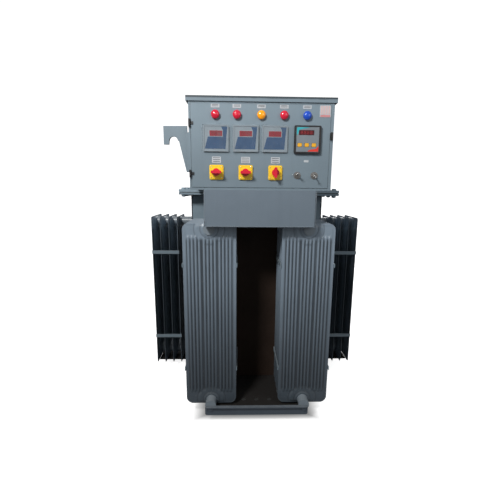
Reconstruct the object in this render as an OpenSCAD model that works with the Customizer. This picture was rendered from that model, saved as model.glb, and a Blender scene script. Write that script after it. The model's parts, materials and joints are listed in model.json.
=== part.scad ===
// Floor-standing three-phase motorised variable autotransformer.
// Oil-filled tank with pressed-steel radiator banks, terminal box and control cabinet on top.
// Origin: centre of the footprint on the floor. +Z up, the control door faces -Y (front),
// +X is on the right when looking at the door.

/* [Tank] */
// outside half width of the tank
tank_hw = 314; // [312:1:318]
// outside half depth of the tank
tank_hd = 200; // [198:1:200]
// sheet thickness of the tank walls
tank_wall = 4; // [3:1:5]
// cover and rim half width
rim_hw = 372; // [368:1:378]
// cover and rim half depth
rim_hd = 262; // [262:1:262]

/* [Radiators] */
// width of one pressed radiator panel
pan_w = 226; // [224:1:228]
// level of the lower panel edge
pan_z0 = 62; // [60:1:62]
// level of the upper panel edge
pan_z1 = 895; // [893:1:896]
// distance between neighbouring panels
pan_pitch = 45; // [44:0.5:45]
// panels in each front bank
front_n = 5; // [4:1:5]
// panels in each side bank
side_n = 4; // [3:1:4]
// outside radius of the header pipes
pipe_r = 24; // [22:1:24]

/* [Cabinet] */
// half width of the control cabinet
cab_hw = 276; // [275:1:277]
// back face of the cabinet
cab_y1 = 150; // [146:1:150]
// half width of the terminal box
box_hw = 224; // [220:1:226]

/* [Drive] */
// gear tooth size
gear_m = 4; // [4:1:4]
// teeth of the main gear
gear_t = 66; // [66:1:66]
// teeth of the motor pinion
pin_t = 15; // [15:1:15]

/* [Hidden] */
$fn = 48;

// tank
floor_z = 56;              // inside floor of the tank
rim_x = 8;                 // middle of the cover and of the tank rim
rim_z0 = 1005;             // underside and top of the tank rim
rim_z1 = 1015;
cover_z0 = 1018;           // underside and top of the tank cover
cover_z1 = 1030;
bolt_y = rim_hd - 16;      // outer cover bolt rows
bolt_xs = [for (i = [0:5]) (i - 2.5)*88];
bolt_ys = [-bolt_y, -148, -49, 49, 148, bolt_y];
filler = [-180, 200];      // x, y on the cover
breather = [190, 200];
gauge_x = -230;            // oil gauge on the back wall
gauge_y = tank_hd + 20;
gauge_zs = [620, 880];
drain_x = 230;             // drain valve on the back wall
drain_z = 110;
stem_y = tank_hd + 32;

// radiators
front_x = 209;             // header pipes of the front banks
front_y = -442;            // middle plane of the foremost panel
side_x = 551;              // middle plane of the outermost panel
side_y = 58;               // middle of the side banks
side_z0 = 46;              // lower and upper edge of the side panels
side_z1 = 884;
pipe_lo = 84;              // levels of the header pipes
front_pipe_hi = 869;
side_pipe_hi = 853;
cap_y = -492;              // closed ends of the lower front pipes

// terminal box
term_y = -381;             // middle and depth
term_d = 238;
term_z0 = 908;
gland_xs = [-60, 0, 60];
gland_y = -400;
bushing_xs = [for (i = [0:5]) -150 + 60*i];
bushing_z = 958;

// cabinet and door
cab_y0 = -495;             // front rim of the cabinet
cab_top = 1372;
sheet = 2;                 // cabinet, door and terminal box sheet
door_y = cab_y0 - sheet;   // front face of the door
door_x0 = -268;
door_x1 = 262;
door_z0 = 1040;
door_z1 = 1348;
rail_y = 140.5;            // front of the rail on the back wall
hinge = [-272, -501];      // x, y of the hinge pins
hinge_zs = [1077, 1263];
button_x = 268;            // turn button beside the door
button_z = 1227;

// door fittings
lamp_xs = [-175, -94, -2, 84, 171];
lamp_z = 1308;
meter_xs = [-173, -60, 51];
meter_z = 1222;
ctl_x = 175;               // controller
ctl_z = 1221;
key_xs = [145, 172, 199];
key_z = 1201;
switch_xs = [-172, -60, 55];
switch_z = 1097;
toggle_xs = [141, 208];
toggle_z = 1088;

// drive and regulator
motor_x = gear_m*(gear_t + pin_t)/2;   // centre distance of the gears
pressure_angle = 20;
backlash = 0.3;
motor_z0 = 1092;           // top of the motor bracket plate
shaft_r = 15;
bore_r = shaft_r + 0.05;
stack_zs = [95, 375, 655];             // supporting plates of the three regulators
plate_zs = concat(stack_zs, [935]);
brush_angle = 20;

// colours shared by several pieces
radiator_grey = [0.42, 0.46, 0.50];
side_black = [0.10, 0.11, 0.13];
cover_grey = [0.45, 0.49, 0.52];
cabinet_grey = [0.49, 0.55, 0.58];
soft_black = [0.10, 0.10, 0.11];
plated = [0.62, 0.63, 0.64];
bronze = [0.72, 0.56, 0.28];
signal_red = [0.85, 0.05, 0.10];

// ---------- shared shapes: extents first, then place and radius ----------
module box(x0, x1, y0, y1, z0, z1) {
  translate([x0, y0, z0]) cube([x1 - x0, y1 - y0, z1 - z0]);
}
// box given by its distances from the middle plane, on the left (side -1) or right (1)
module side_box(side, near, far, y0, y1, z0, z1) {
  box(min(side*near, side*far), max(side*near, side*far), y0, y1, z0, z1);
}
module cyl_x(x0, x1, y, z, r) {
  translate([x0, y, z]) rotate([0, 90, 0]) cylinder(h = x1 - x0, r = r);
}
module cyl_y(y0, y1, x, z, r) {
  translate([x, y1, z]) rotate([90, 0, 0]) cylinder(h = y1 - y0, r = r);
}
module cyl_z(z0, z1, x, y, r) {
  translate([x, y, z0]) cylinder(h = z1 - z0, r = r);
}
module hex_y(y0, y1, x, z, r) {
  translate([x, y1, z]) rotate([90, 0, 0]) cylinder(h = y1 - y0, r = r, $fn = 6);
}
module hex_z(z0, z1, x, y, r) {
  translate([x, y, z0]) cylinder(h = z1 - z0, r = r, $fn = 6);
}
module round_rect(w, h, r) {
  union() {
    square([w - 2*r, h], center = true);
    square([w, h - 2*r], center = true);
    for (a = [-1, 1]) for (b = [-1, 1]) translate([a*(w/2 - r), b*(h/2 - r)]) circle(r = r);
  }
}
// upright rounded plate facing -Y, centred at x, z
module plate(x, z, w, h, r, y0, y1) {
  translate([x, y1, z]) rotate([90, 0, 0]) linear_extrude(y1 - y0) round_rect(w, h, r);
}
// upright rounded box, centred at x, y
module post(x, y, w, d, r, z0, z1) {
  translate([x, y, z0]) linear_extrude(z1 - z0) round_rect(w, d, r);
}

// ---------- radiators ----------
rib_pitch = 15.2;
rib_group = 4*rib_pitch + 4.4;     // pitch of the groups of four

// pointed oval section of one flute
module rib_section() {
  intersection() {
    translate([0, 1.1]) circle(r = 7.1, $fn = 40);
    translate([0, -1.1]) circle(r = 7.1, $fn = 40);
  }
}
// one panel, middle plane XZ through the origin, foot at z = 0, header pipes at levels pipes
module panel(height, pipes, corner_r) {
  difference() {
    union() {
      translate([0, 0, height/2]) rotate([90, 0, 0]) translate([0, 0, -1.2])
        linear_extrude(2.4) round_rect(pan_w, height, corner_r);
      // flutes, tapered at both ends
      intersection() {
        linear_extrude(height) for (g = [-1, 0, 1]) for (i = [0:3])
          translate([g*rib_group + (i - 1.5)*rib_pitch, 0]) rib_section();
        rotate([90, 0, 90]) translate([0, 0, -pan_w/2]) linear_extrude(pan_w)
          polygon([[0, 58], [6.5, 78], [6.5, height - 74],
                   [0, height - 54], [-6.5, height - 74], [-6.5, 78]]);
      }
      // collar pressings around the headers
      intersection() {
        union() for (z = pipes) {
          cyl_y(-4.5, 4.5, 0, z, 60);
          cyl_y(-8, 8, 0, z, 33);
        }
        box(-pan_w/2 + 14, pan_w/2 - 14, -9, 9, 4, height - 12);
      }
    }
    for (z = pipes) cyl_y(-12, 12, 0, z, pipe_r + 0.1);
  }
}
module front_bank(side) {
  for (i = [0:front_n - 1])
    translate([side*front_x, front_y + i*pan_pitch, pan_z0])
      panel(pan_z1 - pan_z0, [pipe_lo - pan_z0, front_pipe_hi - pan_z0], 30);
}
module side_bank(side) {
  for (i = [0:side_n - 1])
    translate([side*(side_x - i*pan_pitch), side_y, side_z0]) rotate([0, 0, 90])
      panel(side_z1 - side_z0, [pipe_lo - side_z0, side_pipe_hi - side_z0], 12);
}
module front_radiator_left() { color(radiator_grey) front_bank(-1); }
module front_radiator_right() { color(radiator_grey) front_bank(1); }
module side_radiator_left() { color(side_black) side_bank(-1); }
module side_radiator_right() { color(side_black) side_bank(1); }

// pipe along Y, closed at y0 and open at y1
module pipe_y(x, z, y0, y1) {
  difference() {
    cyl_y(y0, y1, x, z, pipe_r);
    cyl_y(y0 + 4, y1 + 1, x, z, pipe_r - 3);
  }
}
module header_pipes() {
  color(radiator_grey) for (side = [-1, 1]) {
    pipe_y(side*front_x, pipe_lo, cap_y, -tank_hd);
    pipe_y(side*front_x, front_pipe_hi, -456, -tank_hd);
    for (z = [pipe_lo, side_pipe_hi]) rotate([0, 0, side*90])
      pipe_y(side*side_y, z, -side_x - 14, -tank_hw);
  }
}
module brace_straps() {
  half_t = 2;
  half_h = 9;
  overhang = 6;            // past the middle plane of the last panel
  color([0.55, 0.58, 0.60]) for (side = [-1, 1]) for (edge = [-1, 1]) {
    offs = edge*(pan_w/2 + half_t);
    // side banks: across the front and rear edges
    for (z = [212, 694])
      side_box(side, side_x - (side_n - 1)*pan_pitch - overhang, side_x + 3,
        side_y + offs - half_t, side_y + offs + half_t, z - half_h, z + half_h);
    // front banks: along the outer and inner edges
    for (z = [236, 714])
      box(side*front_x + offs - half_t, side*front_x + offs + half_t,
        front_y - overhang, front_y + (front_n - 1)*pan_pitch + overhang,
        z - half_h, z + half_h);
  }
}
module bottom_tie_bar() {
  bar_y = cap_y - 5;       // front face
  bolt_z = 68;
  color([0.27, 0.31, 0.34]) {
    difference() {
      union() {
        plate(-3, 61, 459, 44, 9, bar_y, cap_y);
        // top flange folded forward
        box(-228, 222, cap_y - 16, cap_y, 78, 83);
      }
      for (side = [-1, 1]) cyl_y(bar_y - 4, cap_y + 1, side*front_x, bolt_z, 6);
    }
    // bolts through the bar ends up to the pipe caps
    for (side = [-1, 1]) union() {
      hex_y(bar_y - 5, bar_y, side*front_x, bolt_z, 9);
      cyl_y(bar_y, cap_y, side*front_x, bolt_z, 5.5);
    }
  }
}

// ---------- tank ----------
module bolt_spots() {
  for (x = bolt_xs) for (y = [-bolt_y, bolt_y]) translate([x, y, 0]) children();
  for (x = [rim_x - rim_hw + 20, rim_x + rim_hw - 20]) for (y = bolt_ys)
    translate([x, y, 0]) children();
}
module bolt_holes(z0, z1) { bolt_spots() cyl_z(z0, z1, 0, 0, 7); }
// slab with the outline of the rim, drawn in by inset
module rim_slab(inset, z0, z1) {
  box(rim_x - rim_hw + inset, rim_x + rim_hw - inset, -rim_hd + inset, rim_hd - inset, z0, z1);
}
module tank_cavity(z0, z1) {
  box(-tank_hw + tank_wall, tank_hw - tank_wall,
    -tank_hd + tank_wall, tank_hd - tank_wall, z0, z1);
}
// two folded channels with a tray plate between them and a shelf on either side
module base_frame() {
  color(soft_black) difference() {
    union() {
      for (side = [-1, 1]) translate([side*200, 230, 0]) rotate([90, 0, 0])
        linear_extrude(580)
          polygon([[0, 0], [side*45, 0], [side*45, 5], [side*5, 5],
                   [side*5, 45], [side*45, 45], [side*45, 50], [0, 50]]);
      box(-201, 201, -470, 230, 46, 50);
      // shelves under the feet of the side banks
      for (side = [-1, 1]) side_box(side, 204, 550, -14, 172, 41, 45.5);
    }
    // holes in the lower flanges
    for (side = [-1, 1]) for (y = [-200, 200]) cyl_z(-1, 6, side*225, y, 9);
    // ways for the cables that hang from the glands
    for (x = gland_xs) cyl_z(45, 51, x, gland_y, 11);
  }
}
module tank_shell() {
  port_y = -tank_hd - 1;   // cutters reach 6 into the wall, past its inner face
  color([0.13, 0.12, 0.12]) difference() {
    union() {
      box(-tank_hw, tank_hw, -tank_hd, tank_hd, 50, rim_z0);
      rim_slab(0, rim_z0, rim_z1);
      // throat towards the terminal box
      box(-205, 205, -rim_hd, -tank_hd, 912, 992);
      // upright stiffeners on the back
      for (x = [-150, 0, 150]) box(x - 4, x + 4, tank_hd, tank_hd + 35, 120, rim_z0);
    }
    tank_cavity(floor_z, rim_z1 + 1);
    box(-202, 202, -rim_hd - 1, -tank_hd, 915, 989);
    // oil ways behind the header pipes
    for (side = [-1, 1]) {
      for (z = [pipe_lo, front_pipe_hi]) cyl_y(port_y, port_y + 7, side*front_x, z, 18);
      for (z = [pipe_lo, side_pipe_hi])
        cyl_x(min(side*(tank_hw - 6), side*(tank_hw + 1)),
          max(side*(tank_hw - 6), side*(tank_hw + 1)), side_y, z, 18);
    }
    for (x = bushing_xs) cyl_y(port_y, port_y + 7, x, bushing_z, 14.1);
    // gauge and drain ports on the back
    for (z = gauge_zs) cyl_y(tank_hd - 6, tank_hd + 1, gauge_x, z, 6);
    cyl_y(tank_hd - 6, tank_hd + 1, drain_x, drain_z, 12);
    bolt_holes(rim_z0 - 5, rim_z1 + 5);
  }
}
module cover_gasket() {
  color([0.12, 0.12, 0.12]) difference() {
    rim_slab(2, rim_z1, cover_z0);
    tank_cavity(rim_z1 - 1, cover_z0 + 1);
    bolt_holes(rim_z1 - 1, cover_z0 + 1);
  }
}
module tank_cover() {
  bx = breather[0];
  by = breather[1];
  color(cover_grey) difference() {
    union() {
      rim_slab(0, cover_z0, cover_z1);
      // filler neck
      cyl_z(cover_z1, cover_z1 + 30, filler[0], filler[1], 26);
      // breather: boss, stem, funnel and lid
      cyl_z(cover_z1, cover_z1 + 12, bx, by, 12);
      cyl_z(cover_z1 + 12, cover_z1 + 60, bx, by, 7);
      translate([bx, by, cover_z1 + 60]) cylinder(h = 22, r1 = 9, r2 = 20);
      cyl_z(cover_z1 + 82, cover_z1 + 88, bx, by, 20);
    }
    bolt_holes(cover_z0 - 1, cover_z1 + 1);
    cyl_z(cover_z0 - 8, cover_z1 + 40, filler[0], filler[1], 20);
    cyl_z(cover_z0 - 8, cover_z1 + 80, bx, by, 4);
    // seat of the upper shaft bush
    cyl_z(cover_z0 - 8, cover_z1 + 10, 0, 0, 30.1);
  }
}
module cover_bolts() {
  color([0.55, 0.56, 0.57]) bolt_spots() union() {
    hex_z(cover_z1, cover_z1 + 8, 0, 0, 10.5);
    cyl_z(rim_z0 - 10, cover_z1 + 1, 0, 0, 6);
    hex_z(rim_z0 - 8, rim_z0, 0, 0, 10.5);
  }
}
module oil_gauge_frame() {
  color(plated) for (z = gauge_zs) difference() {
    union() {
      cyl_y(tank_hd, tank_hd + 8, gauge_x, z, 20);
      post(gauge_x, gauge_y, 28, 28, 5, z - 16, z + 16);
      cyl_y(tank_hd - 3.9, tank_hd + 8, gauge_x, z, 5.9);
    }
    // socket for the glass, facing the other fitting
    socket_z = z == gauge_zs[0] ? z : z - 20;
    cyl_z(socket_z, socket_z + 20, gauge_x, gauge_y, 8.1);
    cyl_y(tank_hd - 5, gauge_y, gauge_x, z, 3);
  }
}
module oil_gauge_glass() {
  color([0.80, 0.75, 0.45, 0.6]) difference() {
    cyl_z(gauge_zs[0] + 0.2, gauge_zs[1] - 0.2, gauge_x, gauge_y, 8);
    cyl_z(gauge_zs[0] - 1, gauge_zs[1] + 1, gauge_x, gauge_y, 6);
  }
}
module drain_valve_body() {
  color([0.70, 0.58, 0.30]) difference() {
    union() {
      cyl_y(tank_hd - 3.9, tank_hd + 12, drain_x, drain_z, 11.9);
      hex_y(tank_hd, tank_hd + 14, drain_x, drain_z, 22);
      cyl_y(tank_hd + 14, tank_hd + 52, drain_x, drain_z, 16);
      hex_y(tank_hd + 44, tank_hd + 62, drain_x, drain_z, 20);
      cyl_z(drain_z, drain_z + 26, drain_x, stem_y, 9);
    }
    cyl_y(tank_hd - 5, tank_hd + 66, drain_x, drain_z, 8);
    cyl_z(drain_z + 8, drain_z + 27, drain_x, stem_y, 4.06);
  }
}
module valve_handle() {
  hub_z0 = 136.2;
  color([0.62, 0.12, 0.10]) union() {
    cyl_z(120, 142, drain_x, stem_y, 4);
    cyl_z(hub_z0, 142, drain_x, stem_y, 11);
    post(drain_x - 34, stem_y, 68, 16, 7.5, hub_z0, 141.8);
  }
}
module filler_cap() {
  x = filler[0];
  y = filler[1];
  color(plated) difference() {
    union() {
      cyl_z(cover_z1 + 16, cover_z1 + 36, x, y, 34);
      box(x - 4, x + 4, y - 28, y + 28, cover_z1 + 36, cover_z1 + 44);
    }
    cyl_z(cover_z1 + 15, cover_z1 + 30.1, x, y, 26.1);
  }
}

// ---------- lifting hooks ----------
// x, z outline of the left front hook, mirrored for the right rear one
hook_outline = [
  [-286, 1270], [-376, 1269], [-376, 1201], [-357, 1201], [-355, 1216],
  [-322, 1216], [-318, 1216], [-291, 1098], [-286, 1098]];
module hook_section() {
  difference() {
    polygon(hook_outline);
    translate([-338.5, 1214.5]) circle(r = 16.5);
    translate([-355, 1190]) square([33, 24.5]);
  }
}
module lifting_hooks() {
  color(cover_grey) for (side = [-1, 1])
    let (y = side < 0 ? -466 : 100) mirror([side > 0 ? 1 : 0, 0, 0]) union() {
      translate([0, y + 6, 0]) rotate([90, 0, 0]) linear_extrude(12) hook_section();
      // backing plate on the cabinet wall
      box(-286.5, -cab_hw, y - 18, y + 18, 1098, 1245);
    }
}

// ---------- terminal box ----------
module terminal_box() {
  skirt_z0 = term_z0 - 24;
  color([0.43, 0.47, 0.51]) difference() {
    union() {
      post(0, term_y, 2*box_hw, term_d, 10, term_z0, cover_z1);
      // drip skirt with a return fold
      intersection() {
        post(0, term_y, 2*box_hw, term_d, 10, skirt_z0, term_z0 + sheet);
        box(-box_hw, box_hw, -501, -462, skirt_z0, term_z0 + sheet);
      }
    }
    post(0, term_y, 2*box_hw - 2*sheet, term_d - 2*sheet, 8,
      term_z0 + sheet, cover_z1 - sheet);
    box(-box_hw + sheet, box_hw - sheet, -498, -461, skirt_z0 + sheet, term_z0);
    box(-box_hw + 20, box_hw - 20, -498, -461, skirt_z0 - 1, skirt_z0 + 3);
    // opening to the tank throat
    box(-200, 200, -265, -261, 917, 987);
    for (x = gland_xs) cyl_z(term_z0 - 1, term_z0 + 3, x, gland_y, 12.1);
    // round hole up to the cabinet
    cyl_z(cover_z1 - 3, cover_z1 + 1, 0, gland_y, 30);
  }
}
module cable_glands() {
  color([0.12, 0.12, 0.13]) for (x = gland_xs) difference() {
    union() {
      hex_z(896, term_z0, x, gland_y, 19);
      cyl_z(907, 924, x, gland_y, 12);
      hex_z(term_z0 + sheet, 916, x, gland_y, 18);
      cyl_z(880, 897, x, gland_y, 16);
      translate([x, gland_y, 874]) cylinder(h = 6, r1 = 12, r2 = 16);
    }
    cyl_z(870, 925, x, gland_y, 8);
  }
}
// radius, distance out from the tank wall
bushing_profile = [
  [6.1, -24], [10, -24], [14, -tank_wall], [14, 0], [24, 0], [24, 8], [15, 12], [21, 18],
  [21, 21], [14, 26], [20, 32], [20, 35], [13, 40], [18, 46], [18, 49], [11, 56], [6.1, 56]];
module terminal_bushings() {
  color([0.55, 0.30, 0.18]) for (x = bushing_xs)
    translate([x, -tank_hd, bushing_z]) rotate([90, 0, 0])
      rotate_extrude() polygon(bushing_profile);
}
// studs through the bushings and bars to the windings, two per winding
module phase_busbars() {
  half_w = 10;
  coil_r = 171;            // radius at which the bars meet the windings
  color([0.72, 0.45, 0.20]) for (i = [0:5]) union() {
    x = bushing_xs[i];
    tap_z = stack_zs[2 - i % 3] + (i < 3 ? 30 : 140);
    inner_x = abs(x) - half_w;
    coil_y = sqrt(coil_r*coil_r - inner_x*inner_x);
    cyl_y(-288, -170, x, bushing_z, 6);
    hex_y(-264.5, -256.2, x, bushing_z, 11);
    hex_y(-278, -270, x, bushing_z, 11);
    box(x - half_w, x + half_w, -175.5, -171.5, tap_z - 10, bushing_z + 10);
    box(x - half_w, x + half_w, -172, -coil_y - 0.3, tap_z - 2, tap_z + 2);
  }
}

// ---------- control cabinet ----------
// slab with the outline of the door, drawn in by inset
module door_slab(inset, y0, y1) {
  box(door_x0 + inset, door_x1 - inset, y0, y1, door_z0 + inset, door_z1 - inset);
}
// frame with y = 0 in the front face of the door
module on_door() { translate([0, door_y, 0]) children(); }

module cabinet_shell() {
  color(cabinet_grey) difference() {
    box(-cab_hw, cab_hw, cab_y0, cab_y1, cover_z1, cab_top);
    box(-cab_hw + sheet, cab_hw - sheet, -475, cab_y1 - sheet, cover_z1 + sheet, cab_top + 1);
    // door recess and opening
    door_slab(-1.2, cab_y0 - 1, -477);
    door_slab(11, -478, -474);
    // floor openings over the tank cover and the terminal box
    box(-262, 262, -258, 140, cover_z1 - 1, cover_z1 + 3);
    cyl_z(cover_z1 - 1, cover_z1 + 3, 0, gland_y, 30);
    cyl_y(cab_y0 - 1, -480, button_x, button_z, 3.06);
    // vent slots in both sides
    for (z = [1130:18:1256]) for (y = [-250, -100])
      box(-cab_hw - 1, cab_hw + 1, y, y + 90, z, z + 5);
  }
}
module cabinet_roof() {
  roof_hw = 285;
  roof_y0 = -500;
  roof_y1 = 158;
  roof_z0 = 1355;
  color([0.45, 0.50, 0.54]) {
    difference() {
      box(-roof_hw, roof_hw, roof_y0, roof_y1, roof_z0, cab_top + sheet);
      box(-roof_hw + sheet, roof_hw - sheet, roof_y0 + sheet, roof_y1 - sheet,
        roof_z0 - 1, cab_top);
    }
    // screw heads on the back of the turned-down rim
    for (x = [-200, 0, 200]) cyl_y(roof_y1, roof_y1 + 3, x, 1362, 5);
  }
}
module knuckle(z0, z1) { cyl_z(z0, z1, hinge[0], hinge[1], 4.2); }
module hinge_leaves_fixed() {
  leaf_x0 = -275.8;
  leaf_x1 = -270.6;
  color(soft_black) for (z = hinge_zs) union() {
    cyl_z(z, z + 28, hinge[0], hinge[1], 2);
    for (k = [0, 20]) {
      knuckle(z + k, z + k + 8);
      box(leaf_x0, leaf_x1, hinge[1], cab_y0, z + k, z + k + 8);
    }
    box(leaf_x0, leaf_x1, -496.4, cab_y0, z, z + 28);
  }
}
module hinge_leaves_door() {
  color(soft_black) for (z = hinge_zs) difference() {
    union() {
      knuckle(z + 8.3, z + 19.7);
      box(hinge[0], -258, door_y - 2, door_y, z + 8.3, z + 19.7);
    }
    cyl_z(z - 1, z + 29, hinge[0], hinge[1], 2.06);
  }
}
module door_panel() {
  color(cabinet_grey) on_door() difference() {
    door_slab(0, 0, 18);
    door_slab(sheet, sheet, 19);
    for (x = lamp_xs) cyl_y(-1, 3, x, lamp_z, 11.2);
    for (x = meter_xs) box(x - 46, x + 46, -1, 3, meter_z - 46, meter_z + 46);
    box(ctl_x - 46, ctl_x + 46, -1, 3, ctl_z - 46, ctl_z + 46);
    for (x = switch_xs) cyl_y(-1, 3, x, switch_z, 10.2);
    for (x = toggle_xs) cyl_y(-1, 3, x, toggle_z, 6.1);
  }
}
module door_gasket() {
  color([0.07, 0.07, 0.07]) on_door() difference() {
    door_slab(0.5, 18, 19.9);
    door_slab(9, 17, 20);
  }
}
module turn_button() {
  color([0.16, 0.15, 0.14]) on_door() union() {
    cyl_y(-4.5, 15, button_x, button_z, 3);
    cyl_y(-4.5, 1.8, button_x, button_z, 5.4);
    plate(button_x, button_z + 8, 10.8, 30, 5, -4.5, -0.6);
    plate(button_x, button_z + 8, 4, 24, 1.8, -11, -4.5);
  }
}

// ---------- door fittings ----------
module device_bodies() {
  color([0.09, 0.09, 0.10]) on_door() {
    for (x = lamp_xs) union() {
      cyl_y(-1.5, 0, x, lamp_z, 15);
      cyl_y(0, 47, x, lamp_z, 11);
      cyl_y(2.1, 8, x, lamp_z, 14);
    }
    for (x = switch_xs) difference() {
      union() {
        cyl_y(0, 3, x, switch_z, 10);
        box(x - 24, x + 24, 2.1, 72, switch_z - 24, switch_z + 24);
      }
      cyl_y(-1, 57, x, switch_z, 4.2);
    }
  }
}
// domed cap of lamp i
module lamp_cap(i) {
  on_door() translate([lamp_xs[i], -1.5, lamp_z]) rotate([90, 0, 0]) rotate_extrude()
    intersection() {
      square([15.5, 20]);
      union() {
        square([15.5, 6]);
        translate([0, -7]) circle(r = 21.5);
      }
    }
}
module lamp_lenses_red() { color(signal_red) for (i = [0, 1, 3]) lamp_cap(i); }
module lamp_lens_amber() { color([0.95, 0.62, 0.05]) lamp_cap(2); }
module lamp_lens_blue() { color([0.05, 0.20, 0.75]) lamp_cap(4); }
module meter_housings() {
  color([0.45, 0.52, 0.60]) on_door() for (x = meter_xs) difference() {
    union() {
      plate(x, meter_z, 96, 96, 3, -6, 0);
      box(x - 45, x + 45, 0, 60, meter_z - 45, meter_z + 45);
    }
    // sunk face and display pocket
    plate(x, meter_z, 88, 88, 2, -7, -4.5);
    plate(x, meter_z + 18, 48, 20, 2, -5, -2.5);
  }
}
module display_windows() {
  color([0.55, 0.06, 0.08]) on_door() {
    for (x = meter_xs) plate(x, meter_z + 18, 47.6, 19.6, 1.8, -5, -2.5);
    plate(ctl_x - 5, ctl_z + 25, 57.6, 17.6, 7, -11, -8.5);
  }
}
module meter_covers() {
  color([0.85, 0.90, 0.92, 0.35]) on_door() for (x = meter_xs) difference() {
    plate(x, meter_z, 106, 101, 4, -13, 0);
    plate(x, meter_z, 102, 97, 2, -11.2, 1);
  }
}
module controller_body() {
  color(soft_black) on_door() difference() {
    union() {
      plate(ctl_x, ctl_z, 102, 102, 4, -10, 0);
      box(ctl_x - 45, ctl_x + 45, 0, 67, ctl_z - 45, ctl_z + 45);
    }
    plate(ctl_x - 5, ctl_z + 25, 58, 18, 7.2, -11, -8.5);
    for (x = key_xs) plate(x, key_z, 16, 13, 2.2, -11, -6);
  }
}
module switch_plates() {
  color([0.98, 0.80, 0.08]) on_door() for (x = switch_xs) difference() {
    union() {
      plate(x, switch_z, 54, 55, 6, -5, 0);
      plate(x, switch_z, 48, 49, 4, -7, -5);
      cyl_y(-9, -7, x, switch_z, 17);
    }
    cyl_y(-10, 1, x, switch_z, 4.2);
  }
}
module toggle_switches() {
  color([0.60, 0.61, 0.62]) on_door() for (x = toggle_xs) difference() {
    union() {
      cyl_y(-1.5, 0, x, toggle_z, 14);
      hex_y(-6, -1.5, x, toggle_z, 10.5);
      cyl_y(-11, 3, x, toggle_z, 6);
      box(x - 8, x + 8, 2.1, 31, toggle_z - 14, toggle_z + 14);
    }
    cyl_y(-12, 1, x, toggle_z, 4.6);
    // seats of the lever pin
    cyl_x(x - 5.5, x + 5.5, -6, toggle_z, 1.6);
  }
}
module label(x, z, w, h, r) { plate(x, z, w, h, r, -0.6, 0); }
module label_plates() {
  color([0.86, 0.87, 0.86]) on_door() {
    for (x = lamp_xs) label(x, lamp_z + 31, 32, 13, 1);
    for (x = switch_xs) label(x, switch_z + 47, 34, 23, 1);
    label((toggle_xs[0] + toggle_xs[1])/2, toggle_z + 54, 18, 8, 1);
    label(240, 1325, 42, 42, 2);
  }
}
// red cam-switch knob, grip turned by angle from upright
module knob(x, angle) {
  color([0.85, 0.06, 0.10]) on_door() translate([x, -9.1, switch_z]) rotate([90, 0, 0]) union() {
    translate([0, 0, -40]) cylinder(h = 41, r = 4.1);
    cylinder(h = 10, r = 14);
    rotate([0, 0, angle]) linear_extrude(22) round_rect(11, 40, 5);
  }
}
module knob_left() { knob(switch_xs[0], 90); }
module knob_middle() { knob(switch_xs[1], 90); }
module knob_right() { knob(switch_xs[2], 0); }
// chrome bat lever, tilted about its pin
module lever(x, tilt) {
  color([0.78, 0.79, 0.80]) on_door() translate([x, -6, toggle_z]) rotate([tilt, 0, 0]) union() {
    sphere(r = 4.4);
    cyl_x(-5.3, 5.3, 0, 0, 1.5);
    rotate([90, 0, 0]) cylinder(h = 10, r = 2.1);
    translate([0, -9, 0]) rotate([90, 0, 0]) cylinder(h = 15, r1 = 2.1, r2 = 3.4);
    translate([0, -24, 0]) sphere(r = 3.45);
  }
}
module lever_left() { lever(toggle_xs[0], -15); }
module lever_right() { lever(toggle_xs[1], 15); }
module key(x) {
  color([0.95, 0.70, 0.10]) on_door() plate(x, key_z, 15.4, 12.4, 2, -12, -8.2);
}
module key_left() { key(key_xs[0]); }
module key_middle() { key(key_xs[1]); }
module key_right() { key(key_xs[2]); }

// ---------- drive in the cabinet ----------
function polar(r, angle) = r*[cos(angle), sin(angle)];
// involute of a base circle at radius r, as an angle in degrees
function involute(base_r, r) = let (a = acos(base_r/r)) tan(a)*180/PI - a;
// half tooth angle at radius r, thinned by the backlash
function half_tooth(teeth, r) =
  let (pitch_r = gear_m*teeth/2, base_r = pitch_r*cos(pressure_angle))
  90/teeth - backlash/pitch_r*180/PI/2
    + involute(base_r, pitch_r) - involute(base_r, max(r, base_r));
module gear_section(teeth) {
  pitch_r = gear_m*teeth/2;
  tip_r = pitch_r + 0.9*gear_m;
  root_r = pitch_r - 1.2*gear_m;
  flank_r = max(root_r + 0.1, pitch_r*cos(pressure_angle));
  // radius, half tooth angle: the root, then five stations up the flank
  flank = concat([[root_r, half_tooth(teeth, flank_r)]],
    [for (i = [0:4]) let (r = flank_r + (tip_r - flank_r)*i/4) [r, half_tooth(teeth, r)]]);
  polygon([for (k = [0:teeth - 1]) each concat(
    [for (i = [0:5]) polar(flank[i][0], 360*k/teeth - flank[i][1])],
    [for (i = [5:-1:0]) polar(flank[i][0], 360*k/teeth + flank[i][1])])]);
}
module main_gear() {
  color([0.55, 0.55, 0.54]) difference() {
    union() {
      translate([0, 0, 1056]) linear_extrude(12) gear_section(gear_t);
      cyl_z(1048, 1080, 0, 0, 32);
      // striker for the limit switches
      cyl_z(1046, 1057, 110*cos(20), 110*sin(20), 5);
    }
    cyl_z(1040, 1090, 0, 0, bore_r);
    for (a = [0:60:300]) rotate([0, 0, a + 50]) cyl_z(1050, 1070, 78, 0, 24);
  }
}
module motor_pinion() {
  // a gap has to face the main gear
  turn = pin_t % 2 == 0 ? 180/pin_t : 0;
  color([0.66, 0.60, 0.42]) union() {
    translate([motor_x, 0, 1052]) rotate([0, 0, turn]) linear_extrude(20) gear_section(pin_t);
    cyl_z(1050, 1110, motor_x, 0, 8);
  }
}
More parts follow.
